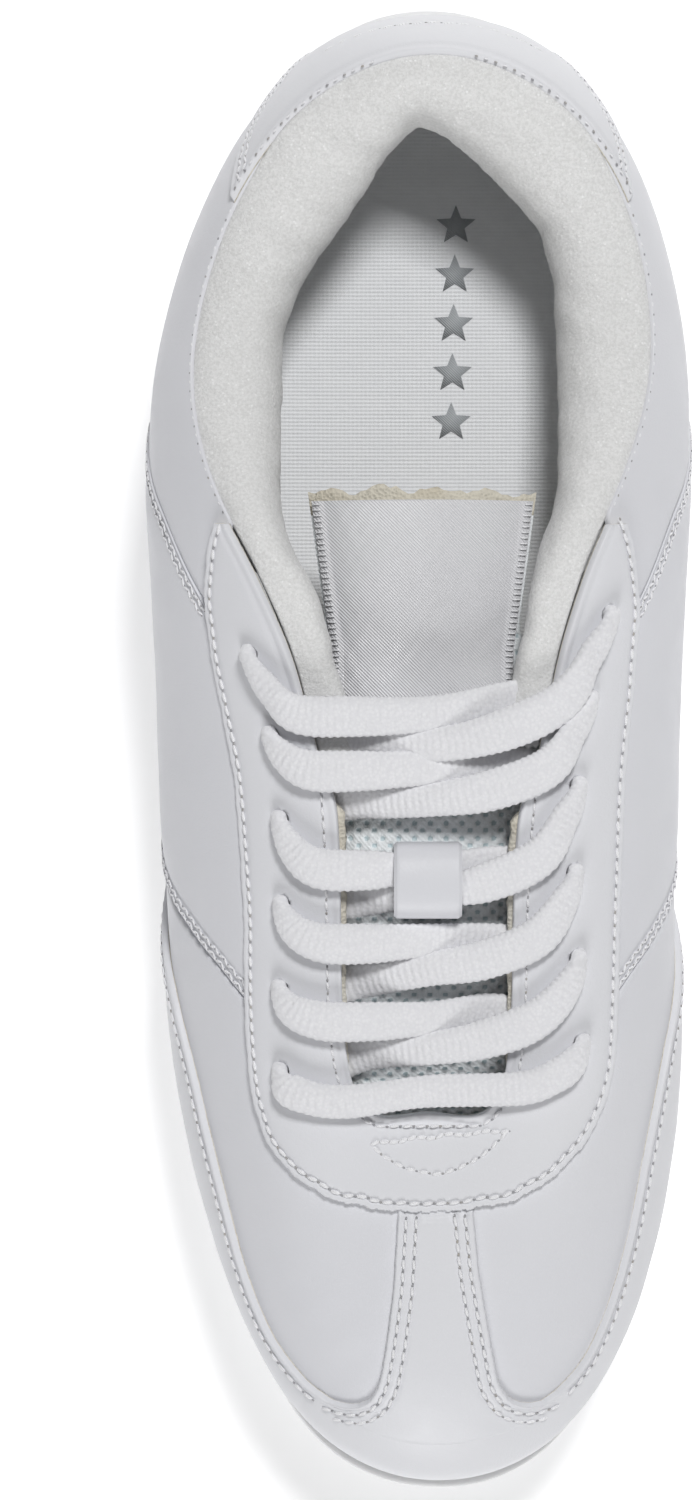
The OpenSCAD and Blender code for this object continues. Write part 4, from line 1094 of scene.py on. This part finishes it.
for t in tongue_t(np.arange(7.5, 42.0, 0.95)):
    for s in (-1, 1):
        xs = [s * (float(label_half(t)) - q) for q in (0.1, 1.35)]
        rod(*(tongue_at(x, t, 1.35 + WAVE * float(ripple(tongue_at(x, t, 0), 23, 81))) for x in xs), .15)
ladder = mesh_piece("label_selvedge_threads", ladder_v, ladder_f, "thread", ride=False)

for o in (tongue, foam, label, ladder):
    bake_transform(o)

# Leather keeper over the third crossing
KEEPER_HALF_X, KEEPER_HALF_Y = 5.75, 5.6
middle = throat_middle(MEDIAL, 3.932)
XX, AA = np.meshgrid((2 * knots(22, 11.5, .5) - 1) * KEEPER_HALF_X, np.linspace(0, math.pi, 60), indexing="ij")


def keeper(grow):
    """The strap's arch over the lace, grown outwards by its thickness."""
    y = middle[1] - (KEEPER_HALF_Y + grow) * np.cos(AA)
    p = tongue_at(XX, tongue_t(y), 0.15)
    z = lerp(p[..., 2], middle[2] + 5.0, np.sin(AA) ** 0.38) + grow * np.sin(AA)
    return np.stack([XX + middle[0], y, np.maximum(z, p[..., 2])], -1)


rim = smooth((KEEPER_HALF_X - np.abs(XX)) / .6)
outer, inner = keeper(0.95), keeper(0.0)
outer = inner + (outer - inner) * (0.6 + 0.4 * rim)[..., None]
slab("keeper_strap", outer, inner, "panel_leather", hide=("lace_keeper",))

# ---- sole unit
BOARD_T, SOCK_T = 1.2, 3.8
TREAD, OUTSOLE_T = 1.6, 2.6
INSOLE_INSET = -5.0         # from the feather line


def sole_edge(u, grow):
    """The feather line grown outwards, with more flare at the toe and heel, or drawn in where grow is negative."""
    p = feather(u)
    g = np.broadcast_to(np.asarray(grow, float), p.shape[:-1])
    flare = g + np.where(p[..., 1] > 0, 1.3, 1.0) * 1.8 * smooth((np.abs(p[..., 1]) - 95) / 30)
    return p - np.where(g > 0, flare, g)[..., None] * inwards(u)


def ground(y):
    """How far toe and heel spring up from the ground."""
    return 8 * np.maximum(0, (-62 - y) / 68) ** 1.8 + 1.5 * np.maximum(0, (y - 104) / 28) ** 2


def strip_cap(base, n, flip):
    """Closes a ring that is alike on its left and right with quads across it."""
    out = []
    for j in range(n // 2):
        if j == 0:
            f = [base, base + 1, base + n - 1]
        elif j == n // 2 - 1:
            f = [base + j, base + j + 1, base + j + 2]
        else:
            f = [base + j, base + j + 1, base + n - j - 1, base + n - j]
        out.append(f[::-1] if flip else f)
    return out


def loft(name, rings, slot, hide):
    n = rings.shape[1]
    faces = tube_faces(len(rings), n, caps=False) + strip_cap((len(rings) - 1) * n, n, False) + strip_cap(0, n, True)
    return mesh_piece(name, rings.reshape(-1, 3), faces, slot, hide=hide)


ring_u = np.linspace(0, RIBS, 1280, endpoint=False)
ring_k = from_toe(ring_u)
flutes = 0.9 * smooth(ring_k - 3.6) * smooth(7.4 - ring_k) * (1 - np.cos(TURN * ring_k / 0.35)) / 2
top_z, floor_z = feather(ring_u)[:, 2] - 0.7, ground(feather(ring_u)[:, 1]) + TREAD + OUTSOLE_T + 0.15
# height from 0 to 1, growth past the feather line, and how deep the flutes cut
side_rows = [(0, 1.15, 0), (0.03, 1.6, 0), (0.12, 2.25, .15), (0.25, 2.9, .8), (0.4, 3.2, 1), (0.55, 3.2, 1),
             (0.68, 2.95, .9), (0.8, 2.7, .35), (0.84, 2.45, 0),
             (0.87, 2.45, 0), (0.90, 2.75, 0), (0.95, 2.75, 0), (0.985, 2.45, 0), (1.0, 2.0, 0), (1.0, 1.2, 0)]
rows = []
for h, grow, cut_in in side_rows:
    p = sole_edge(ring_u, grow - cut_in * flutes)
    p[:, 2] = lerp(floor_z, top_z, h)
    rows.append(p)
rows = np.stack(rows)
rows[1:-2] += (0.06 * ripple(rows[1:-2], 9, 91))[..., None] * -inwards(ring_u)[None]
loft("midsole_sidewall", rows, "eva", ("midsole",))

rows = []
for h, grow in ((0, .4), (.06, .9), (.18, 1.35), (.5, 1.6), (.9, 1.6), (1, 1.3)):
    p = sole_edge(ring_u, grow)
    p[:, 2] = lerp(ground(p[:, 1]) + TREAD, ground(p[:, 1]) + TREAD + OUTSOLE_T, h)
    rows.append(p)
loft("outsole_sheet", np.stack(rows), "rubber", ("outsole",))


def inset_x(y, side):
    """Where the outline, drawn in from the feather line, crosses y on one side."""
    k = np.linspace(0, HEEL, 1500)
    p = sole_edge(side * k, INSOLE_INSET)
    order = np.maximum.accumulate(p[:, 1])
    return float(np.interp(y, order, p[:, 0]))


BAR_PITCH, bar_w, seg = 9.0, 4.6, 10
bar_v, bar_f = [], []
for y in [*np.arange(-110, -28, BAR_PITCH), *np.arange(37, 110, BAR_PITCH)]:        # under the forefoot, then the heel
    left, right = inset_x(y, LATERAL) - 2.3 + bar_w / 2, inset_x(y, MEDIAL) + 2.3 - bar_w / 2
    g0 = float(ground(np.array(y)))
    slope = 0 if g0 < .3 else float(ground(np.array(y + 1.0)) - ground(np.array(y - 1.0))) / 2
    ends = [(right, a) for a in np.linspace(-90, 90, seg)] + [(left, a) for a in np.linspace(90, 270, seg)]
    bar_f += tube_faces(4, len(ends), len(bar_v))
    for z, r in ((0, .84), (.15, .93), (.4, .98), (TREAD + .8, 1.0)):
        for x, a in ends:
            dy = r * bar_w / 2 * math.sin(math.radians(a))
            bar_v.append((x + r * bar_w / 2 * math.cos(math.radians(a)), y + dy, g0 + z + slope * dy))
mesh_piece("tread_bars", bar_v, bar_f, "rubber")

# ---- insole, ribbed across
INSOLE_TOE, PEEL_Y, INSOLE_HEEL = -119.8, -6, 116.6
sock_rows = np.sin(np.linspace(-math.pi / 2, math.pi / 2, 700))
sock_y = PEEL_Y + sock_rows * np.where(sock_rows < 0, PEEL_Y - INSOLE_TOE, INSOLE_HEEL - PEEL_Y)
even_y = np.unique(np.concatenate([np.linspace(-118.5, 115.8, 760), sock_y[:25], sock_y[-25:]]))
k_line = np.linspace(0, HEEL, 4000)
at_y = []
for side in (LATERAL, MEDIAL):
    p = sole_edge(side * k_line, INSOLE_INSET)
    order = np.maximum.accumulate(p[:, 1]) + np.arange(len(k_line)) * 1e-9
    at_y.append(np.stack([np.interp(even_y, order, p[:, c]) for c in (0, 2)], 1))
across = (1 - np.cos(np.linspace(0, math.pi, 60))) / 2
a, b = at_y
XZ = a[None] + (b - a)[None] * across[:, None, None]
Y = np.broadcast_to(even_y[None], XZ.shape[:2])
cup = 1.6 * np.abs(2 * across - 1) ** 4
z0 = XZ[..., 1] + BOARD_T
sag = 0.3 * ripple(np.stack([XZ[..., 0], Y, 0 * Y], -1), 34, 95)
edge_in = np.minimum(1, np.minimum(across, 1 - across)[:, None] * (b - a)[None, :, 0] / 1.4)
round_off = 0.8 * (1 - np.sqrt(1 - (1 - edge_in) ** 2))
top = np.stack([XZ[..., 0], Y, z0 + SOCK_T + cup[:, None] + sag - round_off], -1)
low = np.stack([XZ[..., 0], Y, z0], -1)
insole = slab("insole", top, low, "sockliner_fabric", hide=("sockliner_forefoot", "sockliner_heel"), ride=False)

# A plain row of printed stars on the insole's heel
star_v, star_f = [], []


def insole_z(x, y):
    j = int(np.argmin(np.abs(even_y - y)))
    return float(np.interp(x, top[:, j, 0], top[:, j, 2]))


STAR_R, STAR_INNER_R = 3.6, 1.58
for n in range(5):
    cx, cy = 6.3 - 0.2 * n, 92.0 - 8.6 * n
    for layer in (0.02, 0.10):
        for q in range(10):
            r = STAR_INNER_R if q % 2 else STAR_R
            ang = math.radians(90 + 36 * q)
            x, y = cx + r * math.cos(ang), cy + r * math.sin(ang)
            star_v.append((x, y, insole_z(x, y) + layer))
        star_v.append((cx, cy, insole_z(cx, cy) + layer))
    base = n * 22
    star_f += [[base + 11 + 10, base + 11 + q, base + 11 + (q + 1) % 10] for q in range(10)]
    star_f += [[base + 10, base + (q + 1) % 10, base + q] for q in range(10)]
    star_f += [[base + q, base + (q + 1) % 10, base + 11 + (q + 1) % 10, base + 11 + q] for q in range(10)]
stars = mesh_piece("insole_stars", star_v, star_f, "print", ride=False)
for o in (insole, stars):
    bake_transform(o)

# ---- stitches


def seam(u, v, inset, d=OVER_HIGH, **kw):
    """A stitch row beside a drawn edge: the edge as points on the last, moved sideways by inset millimetres."""
    if inset:
        u, v = offset_curve(u, v, inset)
        on = v < TOPLINE(np.mod(u, RIBS)) - .012            # a row ends before the leather does
        u, v = u[on], v[on]
    stitch_line(u, v, np.asarray(d) + 0.05, **kw)


line = np.linspace(-6.02, 5.98, 900)
seam(line, EYESTAY(line), 1.6, pitch=2.3, length=1.95, wide=.34)
for ends in ((-4.2, -1.36), (1.38, 4.2)):
    line = np.linspace(*ends, 500)
    seam(line, RIDGE(line), -1.5, d=OVER_HIGH + .12, pitch=2.2, length=1.85, wide=.33)
for side in (LATERAL, MEDIAL):
    for gap, foot in ((1.5, .386), (3.3, .402)):
        vs = np.linspace(foot, .862, 300)
        seam(side * STRIP[side](vs), vs, side * gap, pitch=2.3, length=1.85, wide=.33)
# zigzag rows down the saddle's two seams and the heel cover's edge
for side in (LATERAL, MEDIAL):
    for edge_of, ends, way in ((FRONT, (.09, .735), -side), (REAR, (.06, .78), side)):
        vs = np.linspace(*ends, 300)
        for gap in (0.95, 2.2):
            seam(side * edge_of(vs), vs, way * gap, d=BASE_HIGH + .42, pitch=1.25, length=1.55, wide=.2, zigzag=.55)
    vs = np.linspace(.06, .955, 300)
    u = np.mod(side * HEEL_EDGE(vs), RIBS)
    for gap in (1.3, 2.6):
        seam(u, vs, -side * gap, pitch=1.3, length=1.5, wide=.22, zigzag=.45)
# along the throat's edge: one side, round its toe end, then the other side
for side in (LATERAL, None, MEDIAL):
    if side:
        line = np.linspace(*sorted((side * 1.9, side * 4.4)), 300)
        seam(line, np.ones_like(line), -2.4, pitch=2.3, length=1.6, wide=.26)
    else:
        line = np.linspace(-1.7, 1.7, 200)
        seam(line, throat_edge(line), -1.9, pitch=2.2, length=1.6, wide=.28)
# a row across the back of the heel
line = np.linspace(9.05, 10.95, 300)
wander = 0.012 * np.cos((line - HEEL) * 1.6) + .003 * np.sin(line * 25)
seam(line, 0.70 + wander, 0, d=OVER_HIGH + .1, pitch=2.5, length=2.1, wide=.34, tilt=.35)
# small stitches where the padding meets the leather
for line in (np.linspace(6.0, 9.6, 400), np.linspace(10.5, 14.0, 400)):
    over = np.abs(line - HEEL) < 2.05
    seam(line, TOPLINE(line) - .004, 0, d=np.where(over, OVER_HIGH, BASE_HIGH) - .1, pitch=3.4, length=.8, wide=.16)


def at_plan(x, y):
    """Where on the last's top a plan position lies, by a short search."""
    U, V = np.meshgrid(np.linspace(-3, 3, 241), np.linspace(.6, 1.0, 161), indexing="ij")
    P = skin(U, V)
    q = ((P[..., 0] - x) ** 2 + (P[..., 1] - y) ** 2).argmin()
    return U.ravel()[q], V.ravel()[q]


def plan_seam(points, **kw):
    """Stitches along a line given by plan positions on the toe end of the eyestay."""
    pts = np.array([at_plan(*p) for p in points])
    g = np.linspace(0, len(pts) - 1, 120)
    u, v = (np.interp(g, np.arange(len(pts)), pts[:, c]) for c in (0, 1))
    kk = np.hanning(17) / np.hanning(17).sum()
    u, v = (np.convolve(np.pad(q, 8, mode="reflect", reflect_type="odd"), kk, "valid") for q in (u, v))
    stitch_line(u, v, OVER_HIGH + .1, **kw)


# the bar tack across the bottom of the throat: a wavy line above and an arc below
steps = np.linspace(0, 1, 24)
tack = [(lerp(-8.9, 15.2, t), lerp(-67.4, -64.9, t) + .3 * math.sin(t * 25)) for t in steps]
plan_seam(tack, pitch=1.55, length=1.8, wide=.4)
arc = [(lerp(-8.5, 14.8, t), -67.6 + 2.6 * t - 6.2 * math.sin(math.pi * t) ** .8) for t in steps]
plan_seam(arc, pitch=2.1, length=1.8, wide=.36)
build_stitches("upper_stitches", STITCHES, "thread")
# dark beads of painted shade where the needle holes are
build_stitches("painted_hole_shades", NEEDLE_HOLE_SHADES, "painted_hole_shade")

# ---- CAD nodes that stay as they are
for node, slot in (("shank", "shank_plastic"), ("strobel_board", "board"), ("toe_puff", "stiffener"),
                   ("heel_counter", "stiffener")):
    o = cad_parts[node]
    o.data.materials.clear()
    o.data.materials.append(MATS[slot])

# ---- floor and light


def floor_material():
    m = Nodes("studio_floor", (0.94, 0.94, 0.945), 0.9, Specular_IOR_Level=0.1, Emission_Color=(1, 1, 1, 1),
              Emission_Strength=0.36)
    m.tint(m.ramp(m.noise(3, 2), 0.4, 0.7, 0, 0.1), (0.90, 0.90, 0.91))
    return m.mat


FLOOR_HALF, FLOOR_Z = 4, -.0002
me = bpy.data.meshes.new("floor")
corners = ((-1, -1), (1, -1), (1, 1), (-1, 1))
me.from_pydata([(x * FLOOR_HALF, y * FLOOR_HALF, FLOOR_Z) for x, y in corners], [], [(0, 1, 2, 3)])
me.materials.append(floor_material())
floor = bpy.data.objects.new("floor", me)
bpy.context.scene.collection.objects.link(floor)


def area_light(name, place, aim, size, power):
    data = bpy.data.lights.new(name, "AREA")
    data.shape = "SQUARE"
    data.size = size
    data.energy = power
    o = bpy.data.objects.new(name, data)
    o.location = place
    o.rotation_euler = (Vector(aim) - Vector(place)).to_track_quat("-Z", "Y").to_euler()
    bpy.context.scene.collection.objects.link(o)


area_light("key", (0.20, 0.72, 1.45), (0, 0, 0.03), 0.3, 16.0)
area_light("fill", (-0.1, -1.6, 0.62), (0, -0.03, 0.03), 0.7, 13.0)
world = bpy.data.worlds.new("studio")
world.use_nodes = True
sky = world.node_tree.nodes["Background"].inputs
sky["Color"].default_value = (1.0, 1.0, 1.0, 1)
sky["Strength"].default_value = 0.17
bpy.context.scene.world = world
bpy.context.scene.view_settings.view_transform = "Standard"
